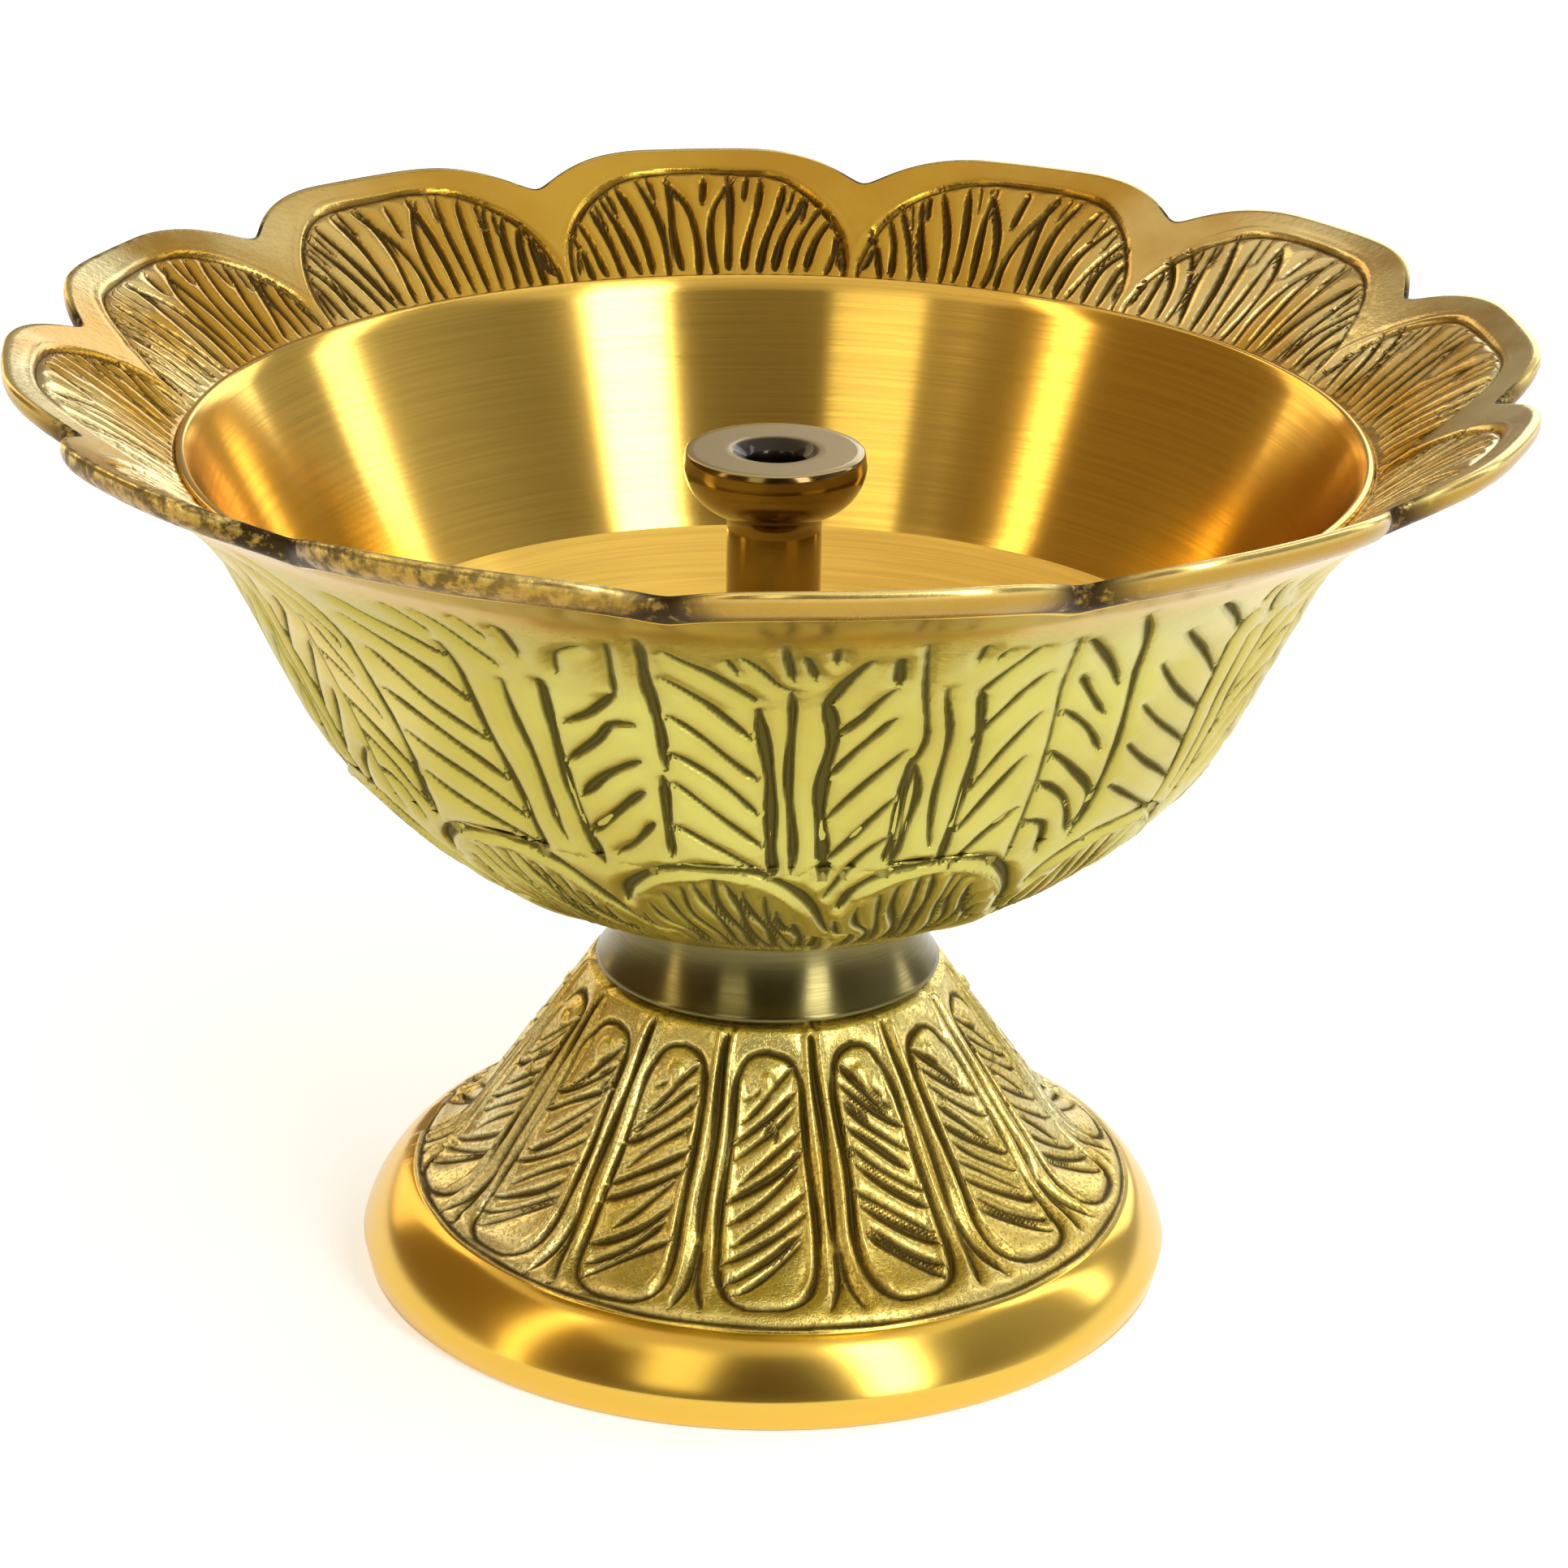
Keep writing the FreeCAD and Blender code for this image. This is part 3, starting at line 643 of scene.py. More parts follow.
def petal_rim(angle, reach, height):
    """Draws the flared rim in to the outline of its petals, and keeps each point's level in the metal."""
    tree = angle.tree
    lobe = (angle * (PETALS / math.pi)).math("PINGPONG", 1.0)
    off_notch = 1.0 - lobe
    lobe = 1.0 - (off_notch * off_notch + NOTCH_ROUNDING).math("SQRT")
    shoulder = ((lobe - PETAL_FLAT) / (1 - PETAL_FLAT)).math("MAXIMUM", 0.0)
    edge = TIP_R * MM - shoulder ** SHOULDER_POWER * (NOTCH_FALL * MM)
    share = ((reach - PETAL_FOOT[0] * MM) / ((TIP_R - PETAL_FOOT[0]) * MM)).math("MAXIMUM", 0.0)
    trimmed = reach.math("MINIMUM", PETAL_FOOT[0] * MM) + share * (edge - PETAL_FOOT[0] * MM)

    def face(centre, radius, at):
        aside = at * -1.0 + centre[0] * MM
        return ((radius * MM) ** 2 - aside * aside).math("SQRT") + centre[1] * MM

    under, top = face(under_centre, UNDER_ARC, reach), face(top_centre, TOP_ARC, reach)
    new_under, new_top = face(under_centre, UNDER_ARC, trimmed), face(top_centre, TOP_ARC, trimmed)
    level = (height - under) / (top - under)
    moved = new_under + level * (new_top - new_under) - height
    return trimmed, height + moved * share.math("GREATER_THAN", 0.0)


petal_turned = turned_tree("turned_petal_rim", petal_rim)
SPLIT_ROW, CHASED_TOP_R, EDGE_R = 73, 59.5, 68.3
wall_face = [SEAT] + arc(SEAT, BELLY, BELLY_ARC, False, 83) + run(BELLY, FLARE, 41)
wall_face += arc(FLARE, petal_level(CHASED_TOP_R, 0.0), UNDER_ARC, True, 27)
wall_face += arc(petal_level(CHASED_TOP_R, 0.0), petal_level(EDGE_R, 0.0), UNDER_ARC, True, 9)
SPLIT = wall_face[SPLIT_ROW]
SPLIT_INNER = (SPLIT[0] - 0.7, SPLIT[1] + 0.9)
belly_back = path(SPLIT_INNER, (30.0, 49.0), (STUD_HOLE_R, SEAT[1] + 1.0), (STUD_HOLE_R, SEAT[1]), SEAT,
                  step=3.0)
belly_centre = arc_centre(SEAT, BELLY, BELLY_ARC, False)


def tucked(rows):
    """These rows of the wall's face, sunk more and more, so that one half slides in behind the other."""
    return [tuple(v + (c - v) * sink / BELLY_ARC for v, c in zip(wall_face[row], belly_centre))
            for row, sink in zip(rows, (0.02, 0.08, 0.2))]


belly_section = belly_back[:-1] + wall_face[:SPLIT_ROW + 1]
belly_section += tucked((SPLIT_ROW + 1, SPLIT_ROW + 2, SPLIT_ROW + 3)) + [belly_back[0]]
wall_back = [petal_level(reach, 0.45) for reach in (68.2, 65.0, 60.0, PETAL_FOOT[0])]
wall_back += path(PETAL_FOOT, (PETAL_FOOT[0] - 0.3, LIP_Z - 1.0), (51.0, 76.0), (44.2, 61.0), SPLIT_INNER,
                  step=6.0)
wall_back += tucked((SPLIT_ROW - 1, SPLIT_ROW - 2, SPLIT_ROW - 3))[::-1]
wall_section = wall_back + wall_face[SPLIT_ROW:] + [wall_back[0]]
INSIDE_START, INSIDE_LOW = (STUD_HOLE_R, SEAT[1] + 1.1), (42.2, BELLY[1])
inside_section = path(INSIDE_START, (29.5, 50.0), (43.6, 61.0), (50.6, 76.0), (53.6, LIP_Z - 3.0),
                      (PETAL_FOOT[0], PETAL_FOOT[1] - 0.5), (PETAL_FOOT[0], LIP_Z - 0.1),
                      (PETAL_FOOT[0] - 0.1, LIP_Z), (LIP_R + 0.15, LIP_Z), (LIP_R, LIP_Z - 0.15),
                      INSIDE_LOW, step=1.5)
inside_section += arc(INSIDE_LOW, (FLOOR_R, FLOOR_Z), INSIDE_ARC, True, 30)
inside_section += path((FLOOR_R, FLOOR_Z), (STUD_HOLE_R, FLOOR_Z), INSIDE_START, step=2.0)[1:]


# The strokes of one block of the chasing: each is a list of (degrees, length up the wall), a half width
# and how blunt its two ends are. The block starts at the left branches of its first tree.
TREES = [
    # the first tree: three stem lines and its left branches
    ([(11.5, 58.5), (13.4, 46), (15.6, 33.5)], 0.30, (0.3, 0.5)),
    ([(16.6, 54.5), (17.5, 45), (18.8, 35.5)], 0.26, (0.3, 0.3)),
    ([(21.0, 55.3), (20.6, 50), (20.9, 44.5), (22.4, 32.7)], 0.42, (0.8, 0.6)),
    ([(2.0, 63.5), (6.5, 60), (11.0, 56.5)], 0.34, (0.3, 0.6)),
    ([(1.0, 59.0), (6.0, 55.0), (11.8, 51.0)], 0.28, (0.3, 0.5)),
    ([(0.8, 54.0), (6.3, 50.0), (12.6, 46.2)], 0.28, (0.3, 0.5)),
    ([(0.6, 49.3), (6.6, 45.8), (13.4, 42.0)], 0.26, (0.3, 0.5)),
    ([(1.2, 44.5), (7.2, 41.2), (14.2, 37.6)], 0.26, (0.3, 0.5)),
    ([(1.6, 39.6), (8.0, 36.4), (15.0, 33.4)], 0.24, (0.3, 0.5)),
    ([(9.0, 65.0), (11.5, 60.8)], 0.30, (0.3, 0.7)),
    ([(12.2, 64.5), (15.2, 59.0), (17.0, 56.8)], 0.28, (0.3, 0.4)),
    ([(16.2, 65.0), (17.6, 61.5)], 0.26, (0.4, 0.4)),
    ([(19.4, 64.0), (20.0, 59.0)], 0.30, (0.6, 0.3)),
    # the first ladder panel
    ([(28.7, 63.5), (28.2, 54.8)], 0.26, (0.4, 0.3)),
    ([(28.0, 54.6), (25.0, 51.9), (22.2, 50.4)], 0.30, (0.5, 0.3)),
    ([(21.8, 45.7), (25.2, 48.6), (27.0, 50.8), (29.2, 51.1)], 0.32, (0.3, 0.4)),
    ([(22.4, 41.5), (25.5, 44.4), (29.4, 46.6)], 0.36, (0.3, 0.5)),
    ([(22.2, 36.8), (25.6, 39.6), (29.3, 42.8)], 0.36, (0.3, 0.5)),
    ([(25.0, 34.4), (27.6, 36.2), (30.0, 39.0)], 0.30, (0.3, 0.5)),
    ([(22.9, 57.0), (24.0, 60.4), (26.6, 62.3)], 0.20, (0.4, 0.4)),
    ([(31.4, 66.0), (31.5, 58), (31.6, 53.0), (32.2, 46.2)], 0.44, (0.2, 0.3)),
    ([(31.6, 45.0), (31.4, 40.0), (31.7, 35.0)], 0.36, (0.2, 0.4)),
    # the tree beside it: left branches, three stem lines, the crown's ticks and right branches
    ([(33.7, 63.6), (36.6, 59.9), (40.8, 55.2)], 0.42, (0.4, 0.9)),
    ([(33.1, 57.9), (36.7, 54.4), (40.4, 50.3)], 0.28, (0.3, 0.5)),
    ([(32.8, 52.5), (36.8, 49.4), (41.2, 45.4)], 0.28, (0.3, 0.5)),
    ([(32.7, 48.2), (36.7, 45.2), (41.2, 41.2)], 0.27, (0.3, 0.5)),
    ([(32.6, 44.2), (36.8, 41.0), (41.4, 36.9)], 0.27, (0.3, 0.5)),
    ([(32.5, 39.2), (37.2, 36.0), (42.6, 32.3)], 0.26, (0.3, 0.5)),
    ([(41.6, 53.8), (42.4, 45.0), (43.2, 33.2)], 0.42, (0.5, 0.6)),
    ([(44.4, 56.2), (44.6, 45.0), (45.3, 33.2)], 0.28, (0.4, 0.4)),
    ([(47.7, 54.6), (48.4, 50.0), (48.0, 43.0), (48.9, 32.0)], 0.46, (0.6, 0.7)),
    ([(38.8, 62.0), (39.8, 59.4)], 0.30, (0.5, 0.4)),
    ([(40.2, 62.4), (42.8, 57.6), (44.5, 56.6)], 0.26, (0.5, 0.3)),
    ([(43.7, 65.0), (44.3, 58.2)], 0.32, (0.4, 0.3)),
    ([(45.5, 62.6), (46.3, 58.4)], 0.34, (0.5, 0.3)),
    ([(47.7, 64.0), (48.0, 61.2)], 0.34, (0.4, 0.3)),
    ([(47.9, 54.9), (49.2, 58.0), (51.0, 61.4)], 0.42, (0.9, 0.5)),
    ([(49.0, 50.9), (51.3, 53.0), (53.6, 56.4)], 0.30, (0.5, 0.3)),
    ([(48.6, 46.0), (51.2, 49.0), (54.4, 52.4)], 0.30, (0.5, 0.3)),
    ([(49.0, 40.6), (52.2, 44.5), (56.0, 48.4)], 0.27, (0.5, 0.3)),
    ([(49.3, 34.8), (52.7, 39.0), (55.6, 42.4)], 0.26, (0.5, 0.3)),
    ([(49.8, 28.8), (52.7, 34.6), (55.8, 37.6)], 0.26, (0.4, 0.3)),
    ([(53.6, 61.6), (53.8, 57.4)], 0.40, (0.7, 0.4)),
    # the last tree: a wide split stem and right branches only
    ([(55.0, 64.3), (56.7, 56.7), (57.7, 50.2), (57.0, 47.0)], 0.26, (0.3, 0.8)),
    ([(57.0, 47.4), (58.2, 43.2), (57.4, 38.0), (56.8, 33.8)], 0.34, (0.8, 0.5)),
    ([(56.9, 47.0), (56.4, 41.0), (55.9, 34.6)], 0.32, (0.8, 0.6)),
    ([(58.8, 56.0), (60.0, 50.9), (60.1, 45.0), (60.8, 36.1)], 0.26, (0.4, 0.4)),
    ([(62.4, 54.8), (63.5, 44.5), (62.8, 33.2)], 0.40, (0.7, 0.5)),
    ([(57.4, 33.6), (61.2, 33.9)], 0.34, (0.8, 0.8)),
    ([(60.4, 63.6), (60.8, 60.4)], 0.28, (0.2, 0.2)),
    ([(63.2, 62.8), (62.6, 60.6)], 0.26, (0.2, 0.2)),
    ([(65.7, 62.4), (64.6, 58.8), (62.5, 55.2)], 0.32, (0.6, 0.8)),
    ([(68.1, 56.5), (65.7, 53.0), (62.9, 49.2)], 0.28, (0.4, 0.5)),
    ([(69.6, 51.4), (66.6, 47.2), (63.9, 42.7)], 0.27, (0.3, 0.5)),
    ([(69.5, 46.0), (66.9, 42.2), (63.9, 37.9)], 0.26, (0.3, 0.5)),
    ([(70.7, 39.4), (67.2, 36.4), (64.4, 32.6)], 0.28, (0.3, 0.4)),
    # the last ladder panel
    ([(69.0, 62.7), (71.4, 51.0), (71.9, 40.5), (72.3, 32.6)], 0.13, (0.5, 0.5)),
    ([(70.7, 61.9), (74.0, 57.4), (77.5, 53.2)], 0.32, (0.5, 0.4)),
    ([(72.3, 55.1), (77.4, 49.8)], 0.30, (0.3, 0.2)),
    ([(71.9, 51.0), (76.0, 48.2), (79.0, 45.2)], 0.26, (0.2, 0.4)),
    ([(72.4, 46.0), (76.0, 43.5), (80.4, 39.2), (80.2, 35.0)], 0.28, (0.4, 0.5)),
    ([(72.3, 42.2), (77.0, 39.0), (79.8, 34.8)], 0.28, (0.3, 0.4)),
    ([(72.6, 37.5), (75.6, 36.2), (76.6, 32.2)], 0.30, (0.4, 0.3)),
    ([(74.2, 65.7), (80.0, 52.2), (81.6, 38.0), (80.9, 33.9)], 0.32, (0.3, 0.4)),
]
WALL_R, ARCH_R, HATCH_R = 44, 36, 32
BLOCK_START, BLOCK_WIDE, BLOCKS = -50.0, 82.0, 5
BACK_SQUEEZE = (360 - BLOCK_WIDE) / (BLOCKS - 1) / BLOCK_WIDE
STROKE_OVERRUN = 2.6  # how far each half carries the other's strokes past the split
split_up = length_of(wall_face[:SPLIT_ROW + 1])
belly_start, wall_start = length_of(belly_back), length_of(wall_back + [SPLIT])
belly_lines = Drawing(21, lambda up: belly_start + min(up, split_up + STROKE_OVERRUN))
wall_lines = Drawing(21, lambda up: wall_start - split_up + max(up, split_up - STROKE_OVERRUN))
for block in range(BLOCKS):
    squeeze = BACK_SQUEEZE if block else 1.0
    start = BLOCK_START if block == 0 else BLOCK_START + BLOCK_WIDE * (1 + (block - 1) * squeeze)
    for corners, half_width, ends in TREES:
        for lines in (belly_lines, wall_lines):
            lines.stroke([(start + a * squeeze, up) for a, up in corners], half_width, ends, 0.14, radius=WALL_R)

ARCHES = 13
ARCH_STEP = 360 / ARCHES
FIRST_ARCH = -14.5


def lotus_arch(lines, middle):
    """One overlapping arch of the lotus that the bowl sits in, with its hatching."""
    hand = lines.hand
    rim = [(-11.5, 26.5), (-10.5, 29.5), (-6.0, 32.6), (0.0, 33.6), (5.0, 33.0), (9.5, 30.4), (13.5, 26.0),
           (16.0, 20.0)]
    lines.stroke([(middle + a, up) for a, up in rim], 0.46, (0.6, 0.2), 0.18, radius=ARCH_R)
    lines.stroke([(middle + a * 0.94, up - 1.25) for a, up in rim[1:7]], -0.22, (0.4, 0.3), 0.12, radius=ARCH_R)
    for i in range(-5, 6):
        x = i * 2.15 + hand.uniform(-0.3, 0.3)
        top = 31.4 - 0.07 * x * x + hand.uniform(-0.5, 0.4)
        lines.stroke([(middle + x, top), (middle + x + 0.8, top - 4.5), (middle + x + 3.4, 18.0),
                      (middle + x + 5.5, 9.0)], hand.uniform(0.20, 0.36), (0.3, 0.3), 0.2, radius=HATCH_R)


for i in range(ARCHES):
    for lines in (belly_lines, wall_lines):
        lotus_arch(lines, FIRST_ARCH + i * ARCH_STEP)


BUFFED_FROM, BUFFED_TO = 81.5, 86.0


def buffed_rim(tree, where):
    """1 where the flare has been buffed smooth under the petals' edge, and 0 over the chasing."""
    return axes(tree, where)["Z"].ease(BUFFED_FROM * MM, BUFFED_TO * MM)


# The bowl's brass is painted lighter and warmer towards both sides, as painted highlight.
chased_bowl = chased_finish("chased_bowl_brass", (0.58, 0.53, 0.13, 1), (0.50, 0.42, 0.08, 1),
                            (0.105, 0.085, 0.016, 1), 0.30, 0.0, buffed_rim, (0.62, 0.39, 0.055, 1),
                            ((0.68, 0.54, 0.20, 1), 22.0, 50.0))
brushed_gold = mirror_finish("brushed_bowl_gold", (0.92, 0.60, 0.12, 1), 0.17, 2300.0, 0.85)
for name, points, lines in (("bowl_belly", belly_section, belly_lines),
                            ("bowl_wall", wall_section, wall_lines)):
    piece = turn_piece(name, petal_turned, points, lines, Columns=840, Groove_Depth=0.68 * MM,
                       Groove_Shoulder=0.38 * MM, Bead_Height=0.3 * MM, Unevenness=0.42 * MM, Change_Row=1000,
                       First_Finish=chased_bowl, Last_Finish=chased_bowl, Lumpy_First=True)
    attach(piece, "lamp")
    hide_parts("bowl")
bowl_inside = turn_piece("bowl_inside", turned, inside_section, plain_drawing(), Columns=400, Change_Row=0,
                         First_Finish=brushed_gold, Last_Finish=brushed_gold)
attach(bowl_inside, "lamp")
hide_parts("bowl")


# ---------------------------------------------------------------------------------------------------------
# The petal faces. They are the top of the same casting: each petal has a palm-leaf panel chased into it
# inside a smooth satin border, and its thick edge is left rough and dark from the mould.
# ---------------------------------------------------------------------------------------------------------
CORNER_R, PETAL_R = 69.25, 60
crown_section = [petal_level(reach, 0.47) for reach in (PETAL_FOOT[0] + 0.05, 60.0, 65.0, 68.0)]
crown_section += [petal_level(*spot) for spot in ((EDGE_R, 0.0), (68.9, 0.04), (69.4, 0.13), (69.8, 0.29),
                                                  (TIP_R, 0.50), (TIP_R, 0.68), (69.92, 0.84), (69.7, 0.94))]
edge_rows = len(crown_section)
corner = petal_level(CORNER_R, 1.0)
crown_length = length_of(crown_section) + math.dist(crown_section[-1], corner)
crown_section += [corner] + arc(corner, PETAL_FOOT, TOP_ARC, False, 52)
crown_section.append(crown_section[0])


def along_petal(reach):
    """Length along the crown's section, from its start in to this distance from the axis."""
    return crown_length + TOP_ARC * (math.asin((top_centre[0] - reach) / TOP_ARC)
                                     - math.asin((top_centre[0] - CORNER_R) / TOP_ARC))


crown_lines = Drawing(5, along_petal)


def palm_panel(lines, middle):
    """One petal's panel: its outline with a bright bead round it, a forked middle vein and fanned ribs."""
    hand = lines.hand
    side = [(-14.3, 55.2), (-14.2, 57.2), (-13.3, 60.4), (-11.0, 63.6), (-7.4, 65.8), (-3.6, 66.5)]
    outline = side + [(0.0, 66.6)] + [(-a, reach) for a, reach in reversed(side)]
    outline = [(middle + a, reach + hand.uniform(-0.15, 0.15)) for a, reach in outline]
    lines.stroke(outline, 0.15, (0.8, 0.8), 0.12, radius=PETAL_R)
    bead = [(middle + (a - middle) * 1.06, reach + 0.55) for a, reach in outline]
    lines.stroke(bead, -0.2, (0.5, 0.5), 0.1, radius=PETAL_R)
    fork = hand.uniform(59.0, 61.0)
    for side in (-1, 1):
        prong = [(middle + side * 0.8, 55.3), (middle + side * 0.6, fork - 2), (middle + side * 1.4, fork + 2),
                 (middle + side * 3.2, 65.5)]
        lines.stroke(prong, 0.26, (0.7, 0.3), 0.12, radius=PETAL_R)
        for i in range(1, 9):
            lean = i / 8 * math.radians(86)
            foot = (middle + side * (0.9 + i * 1.60), 55.3 + hand.uniform(0.0, 0.4) + (0.9 if i == 8 else 0))
            tip = (middle + side * 13.4 * math.sin(lean) ** 0.9 + hand.uniform(-0.25, 0.25),
                   58.4 + 7.6 * math.cos(lean) ** 0.75)
            waist = (foot[0] + (tip[0] - foot[0]) * 0.38 + side * hand.uniform(-0.3, 0.3),
                     (foot[1] + tip[1]) / 2)
            lines.stroke([foot, waist, tip], hand.uniform(0.20, 0.36), (0.5, 0.3), 0.32, radius=PETAL_R)
            if i in (2, 4, 5):
                lines.stroke([(tip[0] - side * 0.9, tip[1] + 0.2), (tip[0] - side * 1.3, tip[1] - 2.6)],
                             hand.uniform(0.12, 0.2), (0.5, 0.2), 0.1, radius=PETAL_R)
    lines.stroke([(middle, fork + 2.4), (middle + hand.uniform(-0.5, 0.5), 65.6)], 0.24, (0.4, 0.4), 0.15,
                 radius=PETAL_R)


for i in range(PETALS):
    palm_panel(crown_lines, i * 360 / PETALS)

# The petals' brass is painted paler towards both sides, as painted highlight.
chased_petals = chased_finish("chased_petal_brass", (0.58, 0.36, 0.048, 1), (0.50, 0.28, 0.032, 1),
                              (0.075, 0.046, 0.010, 1), 0.25, 0.0,
                              painted_highlight_sides=((0.95, 0.82, 0.42, 1), 24.0, 60.0))


def cast_edge_finish():
    """The edge: dark brown with a painted highlight, bright gold, along its top corner; pitted and near black in
    patches towards the left, and black towards the notches.
    """
    finish, tree, shader = new_finish("cast_edge_brass", Metallic=1.0)
    where = object_place(tree)
    notch = off_axis(tree, where).ease(65.6 * MM, 69.0 * MM, 1.0, 0.0)
    rough_side = axes(tree, where)["X"].ease(-45.0 * MM, 0.0, 1.0, 0.03)
    patch = noise(tree, where, 60.0, 5.0, 0.6).ease(0.42, 0.60) * rough_side
    marks = noise(tree, where, 700.0, 4.0, 0.65)
    dark_patches_and_notches = (patch * marks.ease(0.40, 0.60) * 0.8 + notch * marks.ease(0.2, 0.5)).math("MINIMUM", 1.0)
    row = add(tree, "ShaderNodeAttribute", {"attribute_name": "row"})["Fac"]
    # Painted highlight: the rows at the top corner of the edge are coloured bright gold, in place of the lamps'
    # reflection along that corner.
    painted_corner_highlight = row.ease(edge_rows - 4.0, edge_rows - 1.5)
    gold = blend_colours(tree, painted_corner_highlight, (0.42, 0.26, 0.05, 1), (0.92, 0.72, 0.26, 1))
    feed(tree, shader, Base_Color=blend_colours(tree, dark_patches_and_notches, gold, (0.045, 0.028, 0.010, 1)))
    feed(tree, shader, Roughness=dark_patches_and_notches * 0.25 + (marks - 0.5) * 0.12 + 0.27)
    emboss(tree, shader, 0.6, 0.2 * MM, marks * (patch * 0.9 + 0.1))
    return finish


cast_edge = cast_edge_finish()
crown = turn_piece("petal_crown", petal_turned, crown_section, crown_lines, Columns=1200,
                   Groove_Depth=0.62 * MM, Groove_Shoulder=0.36 * MM, Bead_Height=0.22 * MM,
                   Unevenness=0.25 * MM, Change_Row=edge_rows, First_Finish=cast_edge,
                   Last_Finish=chased_petals, Lumpy_First=True)
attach(crown, "lamp")
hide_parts("bowl")


# ---------------------------------------------------------------------------------------------------------
# The clamp. A threaded steel rod runs up the middle from a nut and a washer under the pedestal's deck into
# the wick holder, and pulls the pedestal, the collar and the bowl together. None of it shows from above.
# ---------------------------------------------------------------------------------------------------------
THREAD_PITCH, THREAD_DEEP = 1.0, 0.3
stud_low, stud_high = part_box("centre_stud")
stud_r = stud_high.x / MM


def thread(angle, reach, height):
    """Winds a thread round everything that lies outside the thread's root."""
    turns = height / (THREAD_PITCH * MM) - angle / (2 * math.pi)
    ridge = (turns * 2.0).math("PINGPONG", 1.0).ease(0.15, 0.85)
    outside = reach.ease((stud_r - 0.5) * MM, stud_r * MM)
    return reach - (1.0 - ridge) * outside * (THREAD_DEEP * MM), height


stud_foot, stud_top = stud_low.z / MM, stud_high.z / MM
STUD_CHAMFER = 0.6
stud_section = path((0.0, stud_foot), (stud_r - STUD_CHAMFER, stud_foot), (stud_r, stud_foot + STUD_CHAMFER),
                    (stud_r, stud_top - STUD_CHAMFER), (stud_r - STUD_CHAMFER, stud_top), (0.0, stud_top),
                    step=0.14)
steel, tree, shader = new_finish("bright_steel", Metallic=1.0)
where = object_place(tree)
dull = noise(tree, where, 260.0, 4.0)
grey = blend_colours(tree, dull.ease(0.4, 0.7), (0.56, 0.57, 0.58, 1), (0.33, 0.31, 0.28, 1))
feed(tree, shader, Base_Color=grey, Roughness=dull * 0.3 + 0.2)
emboss(tree, shader, 0.3, 0.05 * MM, noise(tree, where, 1800.0))
stud = turn_piece("threaded_stud", turned_tree("turned_thread", thread), stud_section, plain_drawing(),
                  Columns=48, Change_Row=0, First_Finish=steel, Last_Finish=steel)
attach(stud, "lamp")
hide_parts("centre_stud")
for name in ("clamp_washer", "clamp_nut"):
    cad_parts[name].material_slots[0].material = steel


# ---------------------------------------------------------------------------------------------------------
# The seals. A thin ring of red vulcanised fibre lies between the collar and the bowl, and a smaller one
# under the wick holder keeps the oil from running down the rod.
# ---------------------------------------------------------------------------------------------------------
fibre, tree, shader = new_finish("red_fibre", Roughness=0.6)
flecks = noise(tree, object_place(tree), 900.0, 5.0, 0.7)
red = blend_colours(tree, flecks.ease(0.35, 0.7), (0.16, 0.035, 0.02, 1), (0.30, 0.09, 0.05, 1))
feed(tree, shader, Base_Color=red)
emboss(tree, shader, 0.4, 0.05 * MM, flecks)
for name in ("bowl_seal_washer", "holder_seal_washer"):
    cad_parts[name].material_slots[0].material = fibre


# ---------------------------------------------------------------------------------------------------------
# The wick holder. A brass spool turned in one piece and darkened: its foot screws onto the rod, the wick
# stands in the hole down its stem, and two cross holes low in the stem let the oil in.
# ---------------------------------------------------------------------------------------------------------
holder_low, holder_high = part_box("wick_holder")[0].z / MM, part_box("wick_holder")[1].z / MM
WICK_R, WICK_DEEP, THREAD_HOLE_DEEP, STEM_R, BOSS_R, BOSS_TALL = 2.8, 24.0, 11.5, 4.4, 5.2, 13.5
HEAD_R, DISC_R, HEAD_TALL, HEAD_DROP, HEAD_ARC = 8.5, 8.2, 6.0, 1.5, 5.0
OIL_HOLE_R, OIL_HOLE_UP = 1.2, 2.6
SPOOL_FOOT_R, SPOOL_FOOT_TALL = 7.5, 2.0
wick_floor, thread_end = holder_high - WICK_DEEP, holder_low + THREAD_HOLE_DEEP
foot_top, boss_foot = (SPOOL_FOOT_R - 0.2, holder_low + SPOOL_FOOT_TALL), (BOSS_R, holder_low + 4.0)
neck, head = (STEM_R, holder_high - HEAD_TALL), (HEAD_R, holder_high - HEAD_DROP)
holder_section = path((0.0, thread_end), (STUD_HOLE_R, thread_end), (STUD_HOLE_R, holder_low),
                      (SPOOL_FOOT_R - 0.2, holder_low), (SPOOL_FOOT_R, holder_low + 0.2),
                      (SPOOL_FOOT_R, foot_top[1] - 0.2), foot_top, step=1.0)
holder_section += arc(foot_top, boss_foot, 7.5, True, 6)
holder_section += path(boss_foot, (BOSS_R, holder_low + BOSS_TALL), (STEM_R, holder_low + BOSS_TALL + 2.0),
                       neck, step=1.5)[1:]
holder_section += arc(neck, head, HEAD_ARC, False, 16)
holder_section += path(head, (HEAD_R - 0.02, head[1] + 0.2), (DISC_R + 0.1, holder_high - 0.14),
                       (DISC_R - 0.05, holder_high), (WICK_R + 1.3, holder_high),
                       (WICK_R + 1.1, holder_high - 0.05), (WICK_R + 0.1, holder_high - 0.95),
                       (WICK_R, holder_high - 1.1), (WICK_R, wick_floor), (0.0, wick_floor), step=0.7)[1:]


HOLE_SHADE_LOW, HOLE_SHADE_HIGH = 6.2, 2.2


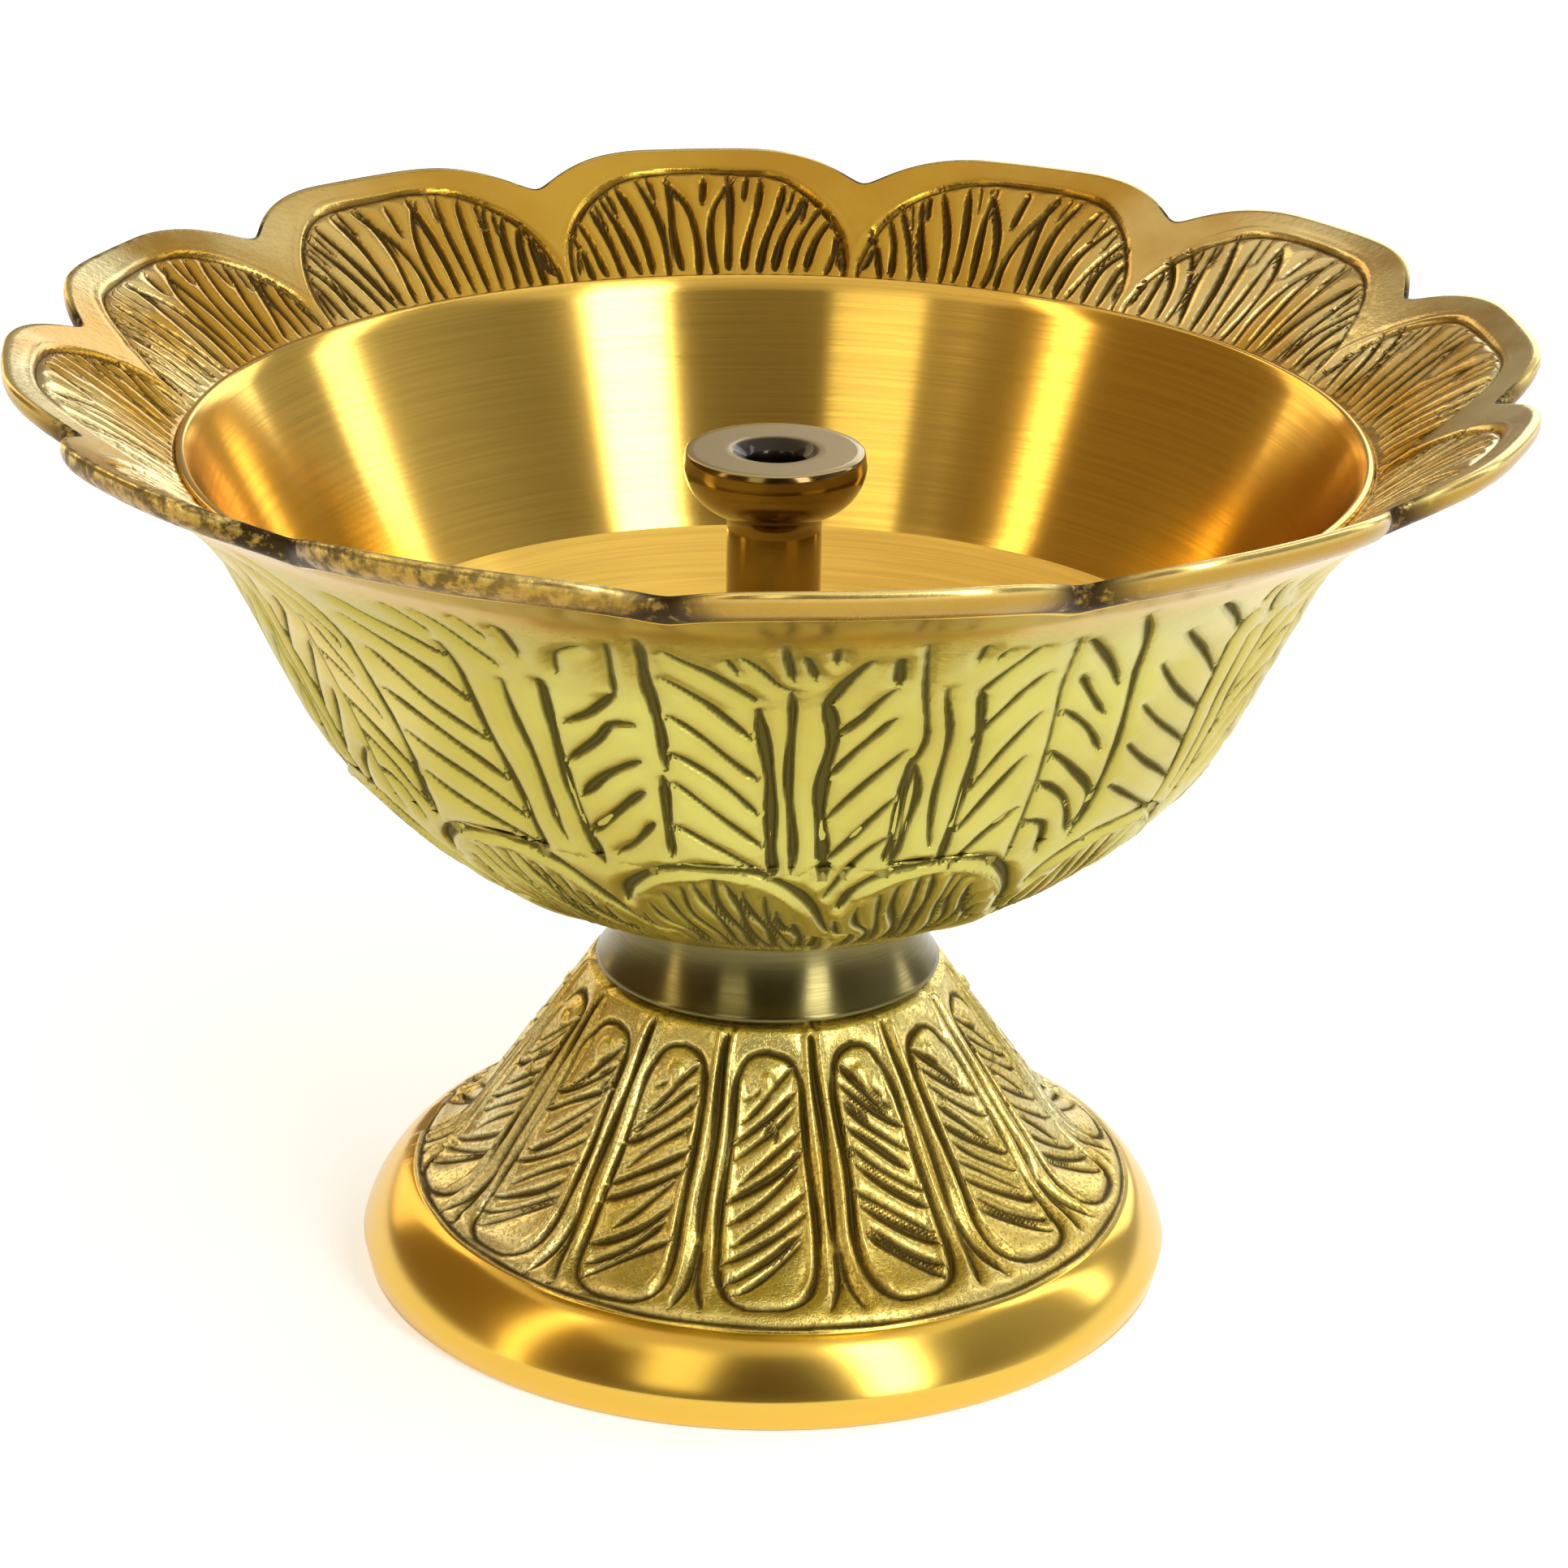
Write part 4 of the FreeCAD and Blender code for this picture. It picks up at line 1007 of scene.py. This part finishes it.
def spool_finish():
    """Brass gone dark olive-brown under lacquer, on the disc a satin brown-grey, with painted shade, near black,
    in the mouth and countersink of the wick hole.
    """
    finish, tree, shader = new_finish("antique_spool_brass", Metallic=1.0, Coat_Weight=0.5,
                                      Coat_Roughness=0.08)
    where = object_place(tree)
    height = axes(tree, where)["Z"]
    disc = height.ease((holder_high - 0.12) * MM, (holder_high - 0.04) * MM)
    lines = brush_lines(tree, where, 3200.0)
    drift = noise(tree, where, 160.0, 4.0)
    brown = blend_colours(tree, drift.ease(0.35, 0.7), (0.20, 0.13, 0.032, 1), (0.13, 0.08, 0.018, 1))
    # Painted shade: the countersink and the top of the wick hole are coloured near black, fading out lower down
    # the hole.
    in_hole = off_axis(tree, where).ease((WICK_R + 0.9) * MM, (WICK_R + 1.5) * MM, 1.0, 0.0)
    painted_hole_shade = in_hole * height.ease((holder_high - HOLE_SHADE_LOW) * MM, (holder_high - HOLE_SHADE_HIGH) * MM)
    brass = blend_colours(tree, disc, brown, (0.48, 0.37, 0.17, 1))
    feed(tree, shader, Base_Color=blend_colours(tree, painted_hole_shade, brass, (0.022, 0.015, 0.008, 1)))
    feed(tree, shader, Roughness=disc * 0.22 + painted_hole_shade * 0.3 + (lines - 0.5) * 0.12 + 0.16)
    emboss(tree, shader, 0.3, 0.02 * MM, lines)
    return finish


spool_brass = spool_finish()
spool = turn_piece("wick_spool_solid", turned, holder_section, plain_drawing(), Columns=160, Change_Row=0,
                   First_Finish=spool_brass, Last_Finish=spool_brass)
DRILL_SIDES, DRILL_REACH = 24, 10.0
ring_turns = [i * math.pi / (DRILL_SIDES / 2) for i in range(DRILL_SIDES)]
for axis in "XY":
    drill = bpy.data.meshes.new("oil_drill")
    ring = [(OIL_HOLE_R * math.cos(turn), OIL_HOLE_R * math.sin(turn)) for turn in ring_turns]
    spots = [(reach, a, wick_floor + OIL_HOLE_UP + b) for reach in (-DRILL_REACH, DRILL_REACH) for a, b in ring]
    if axis == "Y":
        spots = [(-a, reach, z) for reach, a, z in spots]
    sides = [(i, (i + 1) % DRILL_SIDES, (i + 1) % DRILL_SIDES + DRILL_SIDES, i + DRILL_SIDES)
             for i in range(DRILL_SIDES)]
    ends = [tuple(range(DRILL_SIDES - 1, -1, -1)), tuple(range(DRILL_SIDES, 2 * DRILL_SIDES))]
    drill.from_pydata([[c * MM for c in spot] for spot in spots], [], sides + ends)
    drill_piece = bpy.data.objects.new("oil_drill_" + axis, drill)
    bpy.context.scene.collection.objects.link(drill_piece)
    cut = spool.modifiers.new("oil_hole_" + axis, "BOOLEAN")
    cut.object = drill_piece
    cut.solver = "EXACT"
drilled = bpy.data.meshes.new_from_object(spool.evaluated_get(bpy.context.evaluated_depsgraph_get()))
drilled.name = "wick_spool"
wick_spool = bpy.data.objects.new("wick_spool", drilled)
bpy.context.scene.collection.objects.link(wick_spool)
for item in [spool] + [modifier.object for modifier in spool.modifiers]:
    bpy.data.objects.remove(item)
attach(wick_spool, "holder")
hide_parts("wick_holder")
